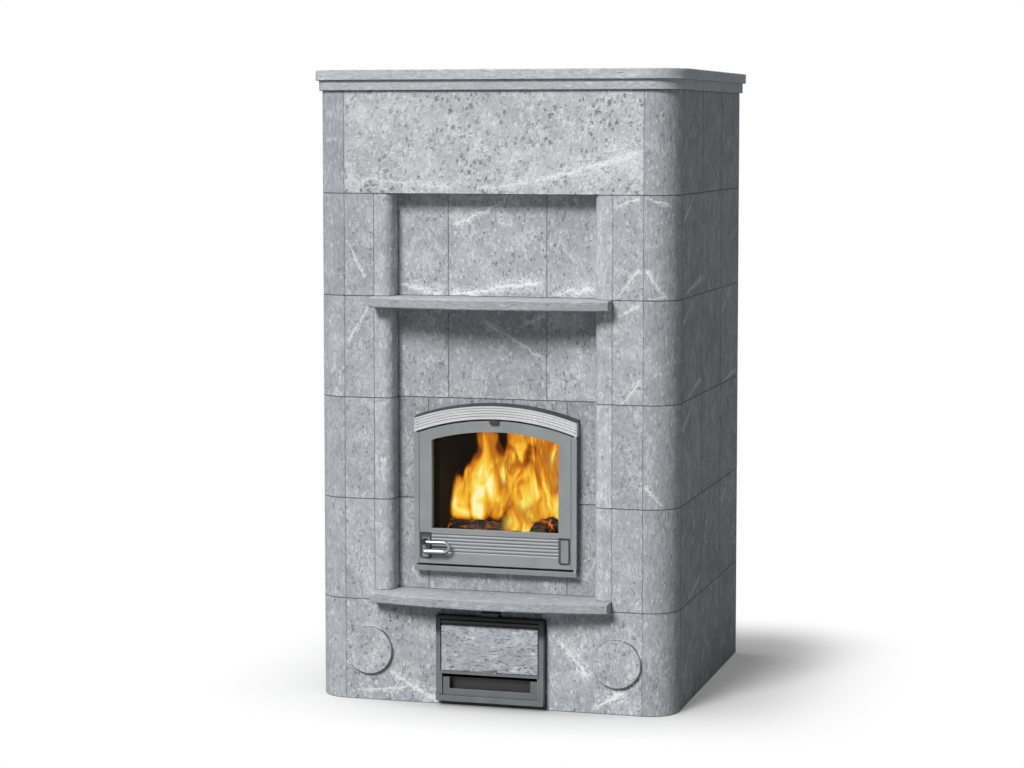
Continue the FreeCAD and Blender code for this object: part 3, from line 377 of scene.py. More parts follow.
sideCells = ((oneStone[0], 0.2873, courseCell), (0.0, -0.385, 0.0))
pairCells = ((1.4, oneStone[1], courseCell), (0.0, 0.0, 0.0))  # left and right stones of each course
courseCells = ((oneStone[0], oneStone[1], courseCell), (-4.0, -4.0, 0.0))
singleCell = (oneStone, (-4.0, -4.0, -4.0))
stoneNodes = {  # sawing, cells of the single stones, tone
    "right_corner_stones": ("post", courseCells, 1.0), "left_corner_stones": ("post", courseCells, 1.0),
    # the side panels' tone below 1 is partly painted shade
    "right_side_panels": ("side", sideCells, 0.93), "left_side_panels": ("side", sideCells, 0.93),
    "rear_panels": ("side", ((0.32167, oneStone[1], courseCell), (-0.4825, -4.0, 0.0)), 1.0),
    "rear_flue_panel": ("side", singleCell, 1.0),
    # the left base panel's lower tone is partly painted shade from the hearth shelf
    "right_base_panel": ("base", singleCell, 1.12), "left_base_panel": ("base", singleCell, 0.97),
    "ash_plinth_stone": ("slab", singleCell, 0.45), "ash_lintel_stone": ("panel", singleCell, 0.9),
    "hearth_shelf": ("slab", singleCell, 0.86), "mantel_shelf": ("slab", singleCell, 0.87),
    # the jamb stones' raised tone is partly painted light against the shading of their rounded edges
    "front_panels": ("front", pairCells, 0.97), "jamb_stones": ("post", pairCells, 1.20),
    # the door surround's lowered tone is partly painted shade under the mantel
    "door_surround_stones": ("panel", ((0.422, oneStone[1], courseCell), (-0.211, -4.0, 0.0)), 0.83),
    "niche_panels": ("panel", ((0.2989, oneStone[1], courseCell), (-0.14945, -4.0, 0.0)), 1.0),
    "top_lintel_panel": ("lintel", singleCell, 1.0),
    "lower_cornice_slabs": ("slab", ((oneStone[0], 0.318, oneStone[2]), (-4.0, -0.477, -4.0)), 1.20),
    "upper_cornice_slabs": ("slab", ((oneStone[0], 0.487, oneStone[2]), (-4.0, -0.497, -4.0)), 1.20),
    "right_cleaning_plug": ("base", singleCell, 0.96), "left_cleaning_plug": ("base", singleCell, 0.93),
    "ash_flap_stone": ("inlay", singleCell, 0.95),
}
finishes = {}
for order, (node, (kind, cells, tone)) in enumerate(stoneNodes.items()):
    finishes[node] = soapstone(node, kind, cells, tone, 1.0 + order)
print("soapstone mixed for", len(stoneNodes), "nodes")


# Core of the stove: sawn stone blackened by smoke, fibre board and cast iron

sootLook = {"stone": (0.026, 0.020, 0.016), "soot": (0.005, 0.004, 0.003), "sootShare": 0.80,
            "sawn": (40.0, 40.0, 260.0), "patch": 5.0, "gloss": 0.03}
boardLook = {"pale": (0.70, 0.66, 0.58), "dark": (0.52, 0.48, 0.41), "fibre": (420.0, 120.0, 420.0),
             "lie": (0.3, 0.2, 0.5)}
ironLook = {"low": (0.022, 0.022, 0.023), "high": (0.038, 0.037, 0.036), "worn": (0.10, 0.10, 0.10),
            "wear": 0.2, "edgeReach": 0.0012, "sand": 420.0}
ropeLook = {"pale": (0.52, 0.50, 0.45), "dark": (0.16, 0.15, 0.13), "strands": 520.0}


def sootyStone():
    material, tree = blankMaterial("sooty_core_stone")
    place = objectPlace(tree)
    sawn = cloud(tree, stretched(tree, place, sootLook["sawn"]), 1.0, 4.0, 0.6)
    soot = rise(tree, cloud(tree, place, sootLook["patch"], 5.0, 0.6), 0.25, 0.60)
    body = brighter(tree, rgb(sootLook["stone"]), swing(tree, sawn, 0.35))
    body = tinted(tree, body, sootLook["soot"], soot, sootLook["sootShare"])
    shade(tree, body, addTo(tree, 0.75, sawn, 0.2), sawn, 0.001, 0.7,
          Specular_IOR_Level=sootLook["gloss"])
    return material


def fibreBoard():
    material, tree = blankMaterial("fibre_board")
    place = objectPlace(tree)
    fibre = cloud(tree, stretched(tree, place, boardLook["fibre"], boardLook["lie"]), 1.0, 5.0, 0.7)
    body = blend(tree, rise(tree, fibre, 0.35, 0.65), rgb(boardLook["dark"]), rgb(boardLook["pale"]))
    shade(tree, body, addTo(tree, 0.8, fibre, 0.15), fibre, 0.0012, 0.8)
    return material


def castIron():
    material, tree = blankMaterial("black_cast_iron")
    place = objectPlace(tree)
    sand = cloud(tree, place, ironLook["sand"], 3.0, 0.65)
    worn = edgeWear(tree, ironLook["edgeReach"])
    body = blend(tree, rise(tree, sand, 0.35, 0.7), rgb(ironLook["low"]), rgb(ironLook["high"]))
    body = tinted(tree, body, ironLook["worn"], worn, ironLook["wear"])
    shade(tree, body, addTo(tree, 0.42, sand, 0.25), sand, 0.0006, 0.6)
    return material


def wovenRope():
    material, tree = blankMaterial("woven_rope")
    place = objectPlace(tree)
    twist = put(tree, "TexWave", {"Vector": place, "Scale": ropeLook["strands"], "Distortion": 2.0},
                bands_direction="DIAGONAL")
    weave = twist.outputs[1]
    body = blend(tree, weave, rgb(ropeLook["dark"]), rgb(ropeLook["pale"]))
    shade(tree, body, addTo(tree, 0.75, weave, 0.2), weave, 0.0008, 0.8)
    return material


# Metals and glass: satin heat paint, bright steel, chrome and the clear pane

doorPaint = {"base": (0.300, 0.317, 0.321), "shadow": (0.262, 0.277, 0.281), "edge": (0.52, 0.54, 0.545),
             "rough": 0.42, "gloss": 0.40, "edgeReach": 0.0011, "creaseShade": 0.55, "ledge": 0.0, "topDark": 0.0,
             "border": None, "shelfShadowFrom": None, "sootFrom": None}
sillPaint = {**doorPaint, "base": (0.250, 0.264, 0.268), "shadow": (0.215, 0.227, 0.231)}
# the frame has no gloss, so its paint is a little paler as a painted sheen
framePaint = {**doorPaint, "base": (0.325, 0.343, 0.347), "shadow": (0.285, 0.300, 0.304),
              "sootFrom": -0.4215, "gloss": 0.0}
# the hood is painted far paler than the leaf as a painted reflection, with painted highlight and shade on
# its ribs
hoodPaint = {**doorPaint, "base": (0.72, 0.727, 0.738), "shadow": (0.66, 0.667, 0.678),
             "edge": (0.82, 0.83, 0.84), "topDark": 0.85, "creaseShade": 0.28, "ledge": 0.30}
leafPaint = {**doorPaint, "sootFrom": -0.4385, "ledge": 0.70}
platePaint = {**doorPaint, "base": (0.265, 0.280, 0.284), "shadow": (0.225, 0.237, 0.241),
              "border": (0.035, 0.038, 0.040)}
# the ash unit's darker paint, its base raised a little as a painted sheen for the lowered gloss
ashPaint = {**doorPaint, "base": (0.200, 0.208, 0.214), "shadow": (0.165, 0.172, 0.177),
            "edge": (0.40, 0.41, 0.415), "rough": 0.45, "gloss": 0.15, "edgeReach": 0.0020, "creaseShade": 0.65}
# rails with a painted shadow of the hearth shelf across their upper part
railPaint = {**ashPaint, "shelfShadowFrom": 0.200}
# its pale, wide edge wear is partly wear and partly a painted highlight along the edges of the recess
drawerPaint = {**ashPaint, "base": (0.180, 0.187, 0.193), "shadow": (0.150, 0.156, 0.161),
               "edge": (0.55, 0.56, 0.57), "edgeReach": 0.0026}
paintMarks = {  # mottle, wear, heat scorch and soot on the paint, and painted shade in creases, under the reeds, round the plates and under the hearth shelf
    "mist": 14.0, "mistRough": 0.12, "grit": 900.0, "gritSwing": 0.12, "wear": 0.55, "nook": 0.006,
    "creaseShade": (0.045, 0.046, 0.048), "undersideShade": (0.06, 0.063, 0.065), "lineFrom": -0.0042, "lineTo": -0.0028,
    "scorch": (0.05, 0.05, 0.052), "shelfShadow": (0.008, 0.009, 0.009), "shelfShadowShare": 0.88, "shelfShadowReach": 0.03,
    "soot": (0.007, 0.006, 0.005), "sootReach": 0.003,
}
steelLook = {"base": (0.52, 0.52, 0.53), "dark": (0.34, 0.34, 0.35), "rough": 0.30, "smear": 30.0}
# the hub colour also serves as painted shade on the tops and undersides of the handle rods
chromeLook = {"base": (0.40, 0.41, 0.42), "dark": (0.30, 0.31, 0.32), "rough": 0.12, "smear": 30.0,
              "hub": (-0.2125, -0.467, 0.477), "hubRadius": 0.0095, "hubFade": 0.001,
              "hubColor": (0.05, 0.053, 0.056), "undersideShade": 0.85, "over": 0.80}
paneLook = {"clear": (0.97, 0.98, 0.97), "hazy": (0.88, 0.87, 0.85), "haze": 0.03, "patch": 9.0,
            "bend": 1.12}


def heatPaint(name, look, node=None):
    material, tree = blankMaterial(name)
    place = objectPlace(tree)
    mist = cloud(tree, place, paintMarks["mist"], 4.0, 0.55)
    grit = cloud(tree, place, paintMarks["grit"], 2.0, 0.6)
    body = blend(tree, rise(tree, mist, 0.30, 0.72), rgb(look["shadow"]), rgb(look["base"]))
    body = brighter(tree, body, swing(tree, grit, paintMarks["gritSwing"]))
    worn = edgeWear(tree, look["edgeReach"])
    body = tinted(tree, body, look["edge"], worn, paintMarks["wear"])
    # painted shade: the paint darkens in creases and corners that the ambient occlusion finds
    hollow = put(tree, "AmbientOcclusion", {"Distance": paintMarks["nook"]}, samples=6).outputs["AO"]
    creaseShadeMask = times(tree, fall(tree, hollow, 0.35, 0.90), look["creaseShade"])
    body = blend(tree, creaseShadeMask, body, rgb(paintMarks["creaseShade"]))
    if look["ledge"]:  # painted highlight on the upward faces of the reeds and painted shade on their undersides
        up = facingUp(tree)
        paintedTopLight = times(tree, rise(tree, up, 0.10, 0.60), look["ledge"])
        body = blend(tree, paintedTopLight, body, rgb(look["edge"]))
        undersideShade = times(tree, fall(tree, up, -0.60, -0.08), look["ledge"])
        body = blend(tree, undersideShade, body, rgb(paintMarks["undersideShade"]))
    if look["border"]:  # painted shade in a dark line round the plate
        low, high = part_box(node)
        half = (high - low) / 2
        reach = vec(tree, "ABSOLUTE", vec(tree, "SUBTRACT", place, tuple((low + high) / 2)))
        rim = axes(tree, vec(tree, "SUBTRACT", reach, tuple(half)))
        line = larger(tree, rim["X"], rim["Z"])
        line = rise(tree, line, paintMarks["lineFrom"], paintMarks["lineTo"])
        body = blend(tree, line, body, rgb(look["border"]))
    if look["topDark"]:  # the upper face is tanned by rising heat
        up = facingUp(tree)
        heat = times(tree, rise(tree, up, 0.75, 0.95), look["topDark"])
        body = blend(tree, heat, body, rgb(paintMarks["scorch"]))
    if look["shelfShadowFrom"] is not None:  # painted shadow of the hearth shelf across the upper part
        above = axes(tree, place)["Z"]
        shelfShadow = rise(tree, above, look["shelfShadowFrom"], look["shelfShadowFrom"] + paintMarks["shelfShadowReach"])
        shelfShadow = times(tree, shelfShadow, paintMarks["shelfShadowShare"])
        body = blend(tree, shelfShadow, body, rgb(paintMarks["shelfShadow"]))
    if look["sootFrom"] is not None:  # smoke blackens what lies behind the glass
        deep = axes(tree, place)["Y"]
        soot = rise(tree, deep, look["sootFrom"], look["sootFrom"] + paintMarks["sootReach"])
        body = blend(tree, soot, body, rgb(paintMarks["soot"]))
    rough = addTo(tree, look["rough"], mist, paintMarks["mistRough"])
    shade(tree, body, rough, grit, 0.00015, 0.5, Specular_IOR_Level=look["gloss"])
    return material


def brightMetal(name, look, lines):
    material, tree = blankMaterial(name)
    place = objectPlace(tree)
    brush = cloud(tree, stretched(tree, place, lines), 1.0, 3.0, 0.6)
    smear = cloud(tree, place, look["smear"], 4.0, 0.6)
    body = blend(tree, rise(tree, brush, 0.3, 0.7), rgb(look["dark"]), rgb(look["base"]))
    if "hub" in look:  # the turned boss is left dark, and painted shade darkens the tops and undersides of the rods
        reach = vec(tree, "MULTIPLY", vec(tree, "SUBTRACT", place, look["hub"]), (1.0, 0.0, 1.0))
        far = vec(tree, "LENGTH", reach)
        boss = fall(tree, far, look["hubRadius"], look["hubRadius"] + look["hubFade"])
        up = facingUp(tree)
        undersideShade = times(tree, fall(tree, up, -0.80, -0.05), look["undersideShade"])
        over = times(tree, rise(tree, up, 0.80, 0.96), look["over"])
        bossAndPaintedShade = larger(tree, boss, larger(tree, undersideShade, over))
        body = blend(tree, bossAndPaintedShade, body, rgb(look["hubColor"]))
    rough = addTo(tree, look["rough"], smear, 0.10)
    shade(tree, body, rough, brush, 0.00008, 0.4, Metallic=1.0)
    return material


def clearPane():
    material, tree = blankMaterial("clear_fire_glass")
    place = objectPlace(tree)
    haze = rise(tree, cloud(tree, place, paneLook["patch"], 5.0, 0.6), 0.45, 0.8)
    body = blend(tree, haze, rgb(paneLook["clear"]), rgb(paneLook["hazy"]))
    rough = times(tree, haze, paneLook["haze"])
    shade(tree, body, rough, Transmission_Weight=1.0, IOR=paneLook["bend"])
    return material


heaterFinishes = {
    sootyStone(): ["floor_slab", "footing_stones", "ash_pit_back_stone", "hearth_floor_stones",
                   "firebox_stones", "throat_stones", "chamber_stones", "core_top_slab",
                   "expansion_strips"],
    fibreBoard(): ["insulation_boards"],
    castIron(): ["grate", "air_control_pull", "air_wash_tab", "ash_drawer_pan"],
    wovenRope(): ["door_seal", "glass_gasket"],
    heatPaint("sill_heat_paint", sillPaint): ["door_sill_bar"],
    heatPaint("frame_heat_paint", framePaint): ["door_frame"],
    heatPaint("leaf_heat_paint", leafPaint): ["door_leaf"],
    heatPaint("handle_plate_paint", platePaint, "handle_escutcheon"): ["handle_escutcheon"],
    heatPaint("blank_plate_paint", platePaint, "blank_plate"): ["blank_plate"],
    heatPaint("hood_heat_paint", hoodPaint): ["door_hood"],
    heatPaint("ash_heat_paint", railPaint): ["ash_frame", "ash_flap_tray", "ash_flap_pull"],
    heatPaint("drawer_heat_paint", drawerPaint): ["ash_drawer_front"],
    brightMetal("bright_steel", steelLook, (60.0, 900.0, 900.0)): [
        "flue_collar", "latch_striker", "door_hinge_pins", "glass_clips", "clip_screws", "latch_spindle",
        "ash_flap_rivet", "ash_flap_pins", "drawer_runners", "air_control_bar"],
    brightMetal("polished_chrome", chromeLook, (40.0, 300.0, 300.0)): ["door_handle"],
    clearPane(): ["door_glass"],
}
for material, names in heaterFinishes.items():
    for node in names:
        finishes[node] = material
for node, material in finishes.items():
    mesh = cadNodes[node].data
    mesh.materials.clear()
    mesh.materials.append(material)
print("finishes set on", len(finishes), "of", len(cadNodes), "nodes")


# Mesh tools for the fire and the small parts

def meshPiece(name, points, faces, material, body, smooth=True):
    mesh = bpy.data.meshes.new(name)
    mesh.from_pydata([tuple(p) for p in points], [], faces)
    made = bmesh.new()
    made.from_mesh(mesh)
    bmesh.ops.recalc_face_normals(made, faces=made.faces)
    made.to_mesh(mesh)
    made.free()
    mesh.polygons.foreach_set("use_smooth", [smooth] * len(mesh.polygons))
    mesh.materials.append(material)
    piece = bpy.data.objects.new(name, mesh)
    bpy.context.scene.collection.objects.link(piece)
    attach(piece, body)
    return piece


def ringFaces(rings, around):
    faces = []
    for ring in range(rings - 1):
        for step in range(around):
            nextStep = (step + 1) % around
            low, high = ring * around, (ring + 1) * around
            faces.append((low + step, low + nextStep, high + nextStep, high + step))
    faces.append(tuple(range(around)))
    faces.append(tuple((rings - 1) * around + step for step in range(around)))
    return faces


# Fire: charred split logs on a bed of embers, with tongues of flame

woodLook = {"char": (0.010, 0.008, 0.007), "bark": (0.10, 0.075, 0.055), "ash": (0.30, 0.28, 0.26),
            "glow": (1.0, 0.16, 0.02), "heat": 0.9, "barkGrain": (45.0, 160.0, 160.0), "ashPatch": 45.0,
            "ashShare": 0.6, "cracks": 55.0, "hotPatch": 16.0}
emberLook = {"coal": (0.012, 0.010, 0.010), "ash": (0.23, 0.22, 0.21), "glow": (1.0, 0.22, 0.03),
             "heat": 2.2, "lumps": 62.0, "hotPatch": 26.0}
ashLook = {"grey": (0.20, 0.19, 0.185), "pale": (0.50, 0.49, 0.475), "coal": (0.02, 0.02, 0.02),
           "dust": 160.0, "coalPatch": 60.0}
unlit = (0.0, 0.0, 0.0, 1.0)


def charredWood():
    material, tree = blankMaterial("charred_wood")
    place = objectPlace(tree)
    bark = cloud(tree, stretched(tree, place, woodLook["barkGrain"]), 1.0, 6.0, 0.7)
    body = blend(tree, rise(tree, bark, 0.35, 0.7), rgb(woodLook["char"]), rgb(woodLook["bark"]))
    ash = rise(tree, cloud(tree, place, woodLook["ashPatch"], 5.0, 0.7), 0.56, 0.72)
    body = tinted(tree, body, woodLook["ash"], ash, woodLook["ashShare"])
    cracks = put(tree, "TexVoronoi", {"Vector": stretched(tree, place, (0.6, 1.0, 1.0)),
                                      "Scale": woodLook["cracks"]}, feature="DISTANCE_TO_EDGE")
    hot = fall(tree, cracks.outputs["Distance"], 0.02, 0.11)
    hot = times(tree, hot, rise(tree, cloud(tree, place, woodLook["hotPatch"], 3.0), 0.48, 0.66))
    glow = blend(tree, hot, unlit, rgb(woodLook["glow"]))
    shade(tree, body, 0.9, bark, 0.004, 0.9, Emission_Color=glow, Emission_Strength=woodLook["heat"])
    return material


def emberBed():
    material, tree = blankMaterial("ember_bed")
    place = objectPlace(tree)
    coal = put(tree, "TexVoronoi", {"Vector": place, "Scale": emberLook["lumps"]})
    body = blend(tree, coal.outputs["Distance"], rgb(emberLook["coal"]), rgb(emberLook["ash"]))
    heat = rise(tree, cloud(tree, place, emberLook["hotPatch"], 5.0, 0.65), 0.46, 0.70)
    glow = blend(tree, heat, unlit, rgb(emberLook["glow"]))
    shade(tree, body, 0.95, coal.outputs["Distance"], 0.006, 0.9, Emission_Color=glow,
          Emission_Strength=emberLook["heat"])
    return material


def coldAsh():
    material, tree = blankMaterial("cold_ash")
    place = objectPlace(tree)
    dust = cloud(tree, place, ashLook["dust"], 6.0, 0.7)
    body = blend(tree, rise(tree, dust, 0.35, 0.65), rgb(ashLook["grey"]), rgb(ashLook["pale"]))
    coal = rise(tree, cloud(tree, place, ashLook["coalPatch"], 3.0, 0.6), 0.62, 0.68)
    body = blend(tree, coal, body, rgb(ashLook["coal"]))
    shade(tree, body, addTo(tree, 0.85, dust, 0.1), dust, 0.003, 0.8)
    return material


flameLook = {
    "foot": 0.490, "top": 0.840, "left": -0.262, "edgeReach": 0.06, "ragged": 0.20, "slant": 0.125,
    "roll": 9.0, "rollReach": (0.13, 0.05, 0.16), "tongue": (15.0, 8.0, 5.0), "thread": (70.0, 40.0, 12.0),
    "sway": 2.9, "flicker": 0.75, "cooling": 0.56, "edgeCool": 0.35, "rimCool": 0.60,
    "core": (-0.075, -0.10, 0.565), "coreSpread": (7.0, 0.0, 7.5), "coreHeat": 0.16,
    "colors": [(0.08, (0.10, 0.010, 0.001, 1.0)), (0.28, (0.40, 0.085, 0.004, 1.0)),
               (0.48, (0.74, 0.26, 0.012, 1.0)), (0.68, (0.96, 0.53, 0.040, 1.0)),
               (0.85, (1.0, 0.78, 0.13, 1.0)), (1.0, (1.0, 0.93, 0.48, 1.0))],
}


def flameSkin(seed, fuel, rimFrom, topFrom):
    material, tree = blankMaterial("flame_%d" % seed)
    place = objectPlace(tree)
    moved = vec(tree, "ADD", place, (3.1 * seed, 0.7 * seed, 1.9 * seed))
    rolling = stretched(tree, moved, (1.0, 1.0, 0.6))
    roll = put(tree, "TexNoise", {"Vector": rolling, "Scale": flameLook["roll"], "Detail": 2.0})
    moved = vec(tree, "ADD", moved, vec(tree, "MULTIPLY", roll.outputs["Color"], flameLook["rollReach"]))
    tongue = cloud(tree, stretched(tree, moved, flameLook["tongue"]), 1.0, 3.0, 0.5, 0.5)
    thread = cloud(tree, stretched(tree, moved, flameLook["thread"]), 1.0, 3.0, 0.6)
    parts = axes(tree, place)
    level = rise(tree, parts["Z"], flameLook["foot"], flameLook["top"])
    lean = times(tree, level, flameLook["slant"])
    sway = calc(tree, "SUBTRACT", tongue, 0.5)
    ragged = times(tree, sway, flameLook["ragged"])
    edge = calc(tree, "ADD", calc(tree, "SUBTRACT", parts["X"], lean), ragged)
    left = rise(tree, edge, flameLook["left"], flameLook["left"] + flameLook["edgeReach"])
    offCore = vec(tree, "SUBTRACT", place, flameLook["core"])
    offCore = vec(tree, "MULTIPLY", offCore, flameLook["coreSpread"])
    core = fall(tree, vec(tree, "LENGTH", offCore), 0.0, 1.0)
    flicker = calc(tree, "SUBTRACT", thread, 0.5)
    heat = addTo(tree, fuel, sway, flameLook["sway"])
    heat = addTo(tree, heat, flicker, flameLook["flicker"])
    heat = addTo(tree, heat, core, flameLook["coreHeat"])
    heat = takeFrom(tree, heat, level, flameLook["cooling"])
    outside = calc(tree, "SUBTRACT", 1.0, left)
    heat = takeFrom(tree, heat, outside, flameLook["edgeCool"])
    sheet = axes(tree, put(tree, "UVMap", uv_map="tongue").outputs[0])
    rim = farFrom(tree, sheet["X"], 0.5)
    full = fall(tree, rim, rimFrom, 0.50)  # 1 inside the sheet, 0 at its rims
    full = times(tree, full, fall(tree, sheet["Y"], topFrom, 0.99))
    full = times(tree, full, rise(tree, sheet["Y"], 0.01, 0.12))
    thin = calc(tree, "SUBTRACT", 1.0, full)
    heat = takeFrom(tree, heat, thin, flameLook["rimCool"])
    hot = put(tree, "ValToRGB", {0: heat})
    stops = hot.color_ramp.elements
    stops[0].position, stops[0].color = flameLook["colors"][0]
    stops[1].position, stops[1].color = flameLook["colors"][-1]
    for position, color in flameLook["colors"][1:-1]:
        stops.new(position).color = color
    veil = times(tree, times(tree, rise(tree, heat, 0.06, 0.50), left), full)
    shade(tree, unlit, 1.0, Emission_Color=hot.outputs[0], Emission_Strength=1.0, Alpha=veil,
          Specular_IOR_Level=0.0)
    return material


logPlan = {  # ends and radius of each log, in metres
    "log_front": ((-0.205, -0.240, 0.480), (0.010, -0.225, 0.482), 0.027),
    "log_rear": ((-0.150, -0.075, 0.497), (0.150, -0.105, 0.497), 0.040),
    "log_cross": ((-0.120, -0.165, 0.512), (0.110, -0.020, 0.528), 0.028),
    "log_right": ((0.082, -0.300, 0.492), (0.135, -0.120, 0.498), 0.036),
}
logDetail = {"rings": 34, "around": 26, "knobble": 0.16, "grit": 0.05, "bow": 0.006, "split": 0.80,
             "taper": 0.10, "endRound": 0.55, "endFrom": 0.94, "endReach": 0.06}


def splitLog(name, start, end, radius, seed, material):
    start, end = Vector(start), Vector(end)
    along = (end - start).normalized()
    side = along.cross(Vector((0, 0, 1))).normalized()
    up = side.cross(along)
    rings, around = logDetail["rings"], logDetail["around"]
    points = []
    for ring in range(rings):
        share = ring / (rings - 1)
        taper = 1.0 - logDetail["taper"] * share
        ending = max(0.0, abs(2 * share - 1) - logDetail["endFrom"])
        taper -= logDetail["endRound"] * ending / logDetail["endReach"]
        centre = start.lerp(end, share) + up * logDetail["bow"] * math.sin(math.pi * share + seed)
        for step in range(around):
            angle = 2 * math.pi * step / around
            spot = Vector((math.cos(angle), math.sin(angle), share * 5.0 + seed * 3.0))
            bark = 1.0 + logDetail["knobble"] * noise.noise(spot * 1.6)
            bark += logDetail["grit"] * noise.noise(spot * 6.0)
            flat = min(1.0, logDetail["split"] / max(0.05, math.cos(angle - 0.9 * seed)))  # the split face
            reach = radius * taper * bark * flat
            points.append(centre + side * math.cos(angle) * reach + up * math.sin(angle) * reach)
    meshPiece(name, points, ringFaces(rings, around), material, heaterBody)


bedPlan = {"cells": (48, 46), "slope": 6.0, "lumps": 34, "pebbles": 90, "lift": 0.0006, "skin": 0.002,
           "embers": 0.020, "emberX": (-0.195, 0.195), "emberY": (-0.345, 0.10),
           "ash": 0.013, "panFloor": 0.0022, "panSides": 0.006, "panEnds": 0.008}


def lumpyBed(name, xSpan, ySpan, baseAt, crestFrom, thickness, material, body):
    across, deep = bedPlan["cells"]
    slope, lumps, pebbles = bedPlan["slope"], bedPlan["lumps"], bedPlan["pebbles"]
    tops, bottoms = [], []
    for row in range(deep + 1):
        y = ySpan[0] + (ySpan[1] - ySpan[0]) * row / deep
        for column in range(across + 1):
            x = xSpan[0] + (xSpan[1] - xSpan[0]) * column / across
            base = baseAt(x, y) + bedPlan["lift"]
            rim = min(1.0, slope * min(column, across - column) / across,
                      slope * min(row, deep - row) / deep)
            lump = 0.55 + 0.45 * noise.noise(Vector((x * lumps, y * lumps, 2.0)))
            lump += 0.3 * noise.noise(Vector((x * pebbles, y * pebbles, 5.0)))
            crest = crestFrom + thickness * (0.25 + max(0.0, lump)) * rim
            skin = base + bedPlan["skin"]
            tops.append((x, y, max(skin, crest * rim + skin * (1.0 - rim))))
            bottoms.append((x, y, base))
    shift, wide = len(tops), across + 1
    faces = []
    for row in range(deep):
        for column in range(across):
            corner = row * wide + column
            loop = (corner, corner + 1, corner + wide + 1, corner + wide)
            faces.append(loop)
            faces.append(tuple(shift + index for index in reversed(loop)))
    edge = list(range(wide)) + [r * wide + across for r in range(1, deep + 1)]
    edge += [deep * wide + c for c in reversed(range(across))]
    edge += [r * wide for r in reversed(range(1, deep))]
    for place, here in enumerate(edge):
        there = edge[(place + 1) % len(edge)]
        faces.append((here, there, shift + there, shift + here))
    meshPiece(name, tops + bottoms, faces, material, body)


def grateBed(material):
    low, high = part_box("grate")
    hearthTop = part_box("hearth_floor_stones")[1].z

    def baseAt(x, y):
        return high.z if low.x <= x <= high.x and low.y <= y <= high.y else hearthTop

    lumpyBed("ember_bed", bedPlan["emberX"], bedPlan["emberY"], baseAt, high.z, bedPlan["embers"], material,
             heaterBody)


def panAsh(material):
    low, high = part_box("ash_drawer_pan")
    floorTop = low.z + bedPlan["panFloor"]
    sides, ends = bedPlan["panSides"], bedPlan["panEnds"]
    lumpyBed("drawer_ash", (low.x + sides, high.x - sides), (low.y + ends, high.y - ends),
             lambda x, y: floorTop, floorTop, bedPlan["ash"], material, "ash_drawer")


flamePlan = {  # middle, depth, half width, foot, height, fuel, where its sides and its top thin out
    "flame_back": (0.005, -0.060, 0.214, 0.490, 0.342, 0.72, 0.45, 0.88),
    "flame_middle": (0.000, -0.205, 0.216, 0.484, 0.342, 0.58, 0.45, 0.88),
    "flame_lick": (0.045, -0.292, 0.075, 0.478, 0.150, 0.86, 0.12, 0.25),
}
flameDetail = {"rings": 40, "around": 48, "thickness": 0.010, "thinEnds": 0.15, "narrowing": 0.25,
               "wave": 0.016, "waveAcross": 14.0, "waveUp": 9.0}


def flameSheet(name, middle, depth, halfWidth, foot, height, seed, material):
    rings, around = flameDetail["rings"], flameDetail["around"]
    points, sheet = [], []
    for ring in range(rings):
        share = ring / (rings - 1)
        width = halfWidth * (1.0 - flameDetail["narrowing"] * share ** 3)
        thick = flameDetail["thickness"] * (flameDetail["thinEnds"] + math.sin(math.pi * share))
        for step in range(around):
            angle = 2 * math.pi * step / around
            x = middle + width * math.cos(angle)
            z = foot + height * share
            ripple = Vector((x * flameDetail["waveAcross"], z * flameDetail["waveUp"], 4.0 * seed))
            wave = flameDetail["wave"] * noise.noise(ripple)
            points.append((x, depth + wave + thick * math.sin(angle), z))
            sheet.append((0.5 + 0.5 * math.cos(angle), share))
    piece = meshPiece(name, points, ringFaces(rings, around), material, heaterBody)
    layer = piece.data.uv_layers.new(name="tongue")
    for loop in piece.data.loops:
        layer.data[loop.index].uv = sheet[loop.vertex_index]


wood, embers = charredWood(), emberBed()
for order, (name, (start, end, radius)) in enumerate(logPlan.items()):
    splitLog(name, start, end, radius, order + 1, wood)
grateBed(embers)
panAsh(coldAsh())
for order, (name, plan) in enumerate(flamePlan.items()):
    flameSheet(name, *plan[:5], order + 1, flameSkin(order + 1, *plan[5:]))
print("fire laid:", len(logPlan), "logs and", len(flamePlan), "sheets of flame")


# Sloping dark cover on the door hood

crownPlan = {"radius": 0.7473, "middle": 0.1347, "rise": 0.007, "nose": 0.0012, "lift": 0.0003, "steps": 60,
             "wallGap": 0.0004, "ridge": 0.003, "ridgeRise": 0.0004, "setBack": 0.002, "endGap": 0.0005}
crownPaint = {**ashPaint, "base": (0.085, 0.088, 0.092), "shadow": (0.06, 0.062, 0.066),
              "edge": (0.16, 0.165, 0.17)}


def hoodCrown(material):
    low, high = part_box("door_hood")
    radius = crownPlan["radius"]
    bottom, crest = radius + crownPlan["lift"], radius + crownPlan["rise"]
    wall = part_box("door_surround_stones")[0].y
    back, front = wall - crownPlan["wallGap"], low.y + crownPlan["setBack"]
    profile = [(back, bottom), (back, crest), (wall - crownPlan["ridge"], crest + crownPlan["ridgeRise"]),
               (front, radius + crownPlan["nose"]), (front, bottom)]
    sweep = math.asin((high.x - crownPlan["endGap"]) / radius)
    points = []
    for step in range(crownPlan["steps"] + 1):
        angle = sweep * (2.0 * step / crownPlan["steps"] - 1.0)
        for y, reach in profile:
            points.append((reach * math.sin(angle), y, crownPlan["middle"] + reach * math.cos(angle)))
    meshPiece("hood_crown", points, ringFaces(crownPlan["steps"] + 1, len(profile)), material, heaterBody,
              smooth=False)


hoodCrown(heatPaint("crown_heat_paint", crownPaint))
print("hood cover set")


# Fine ribs on the upper part of the handle plate

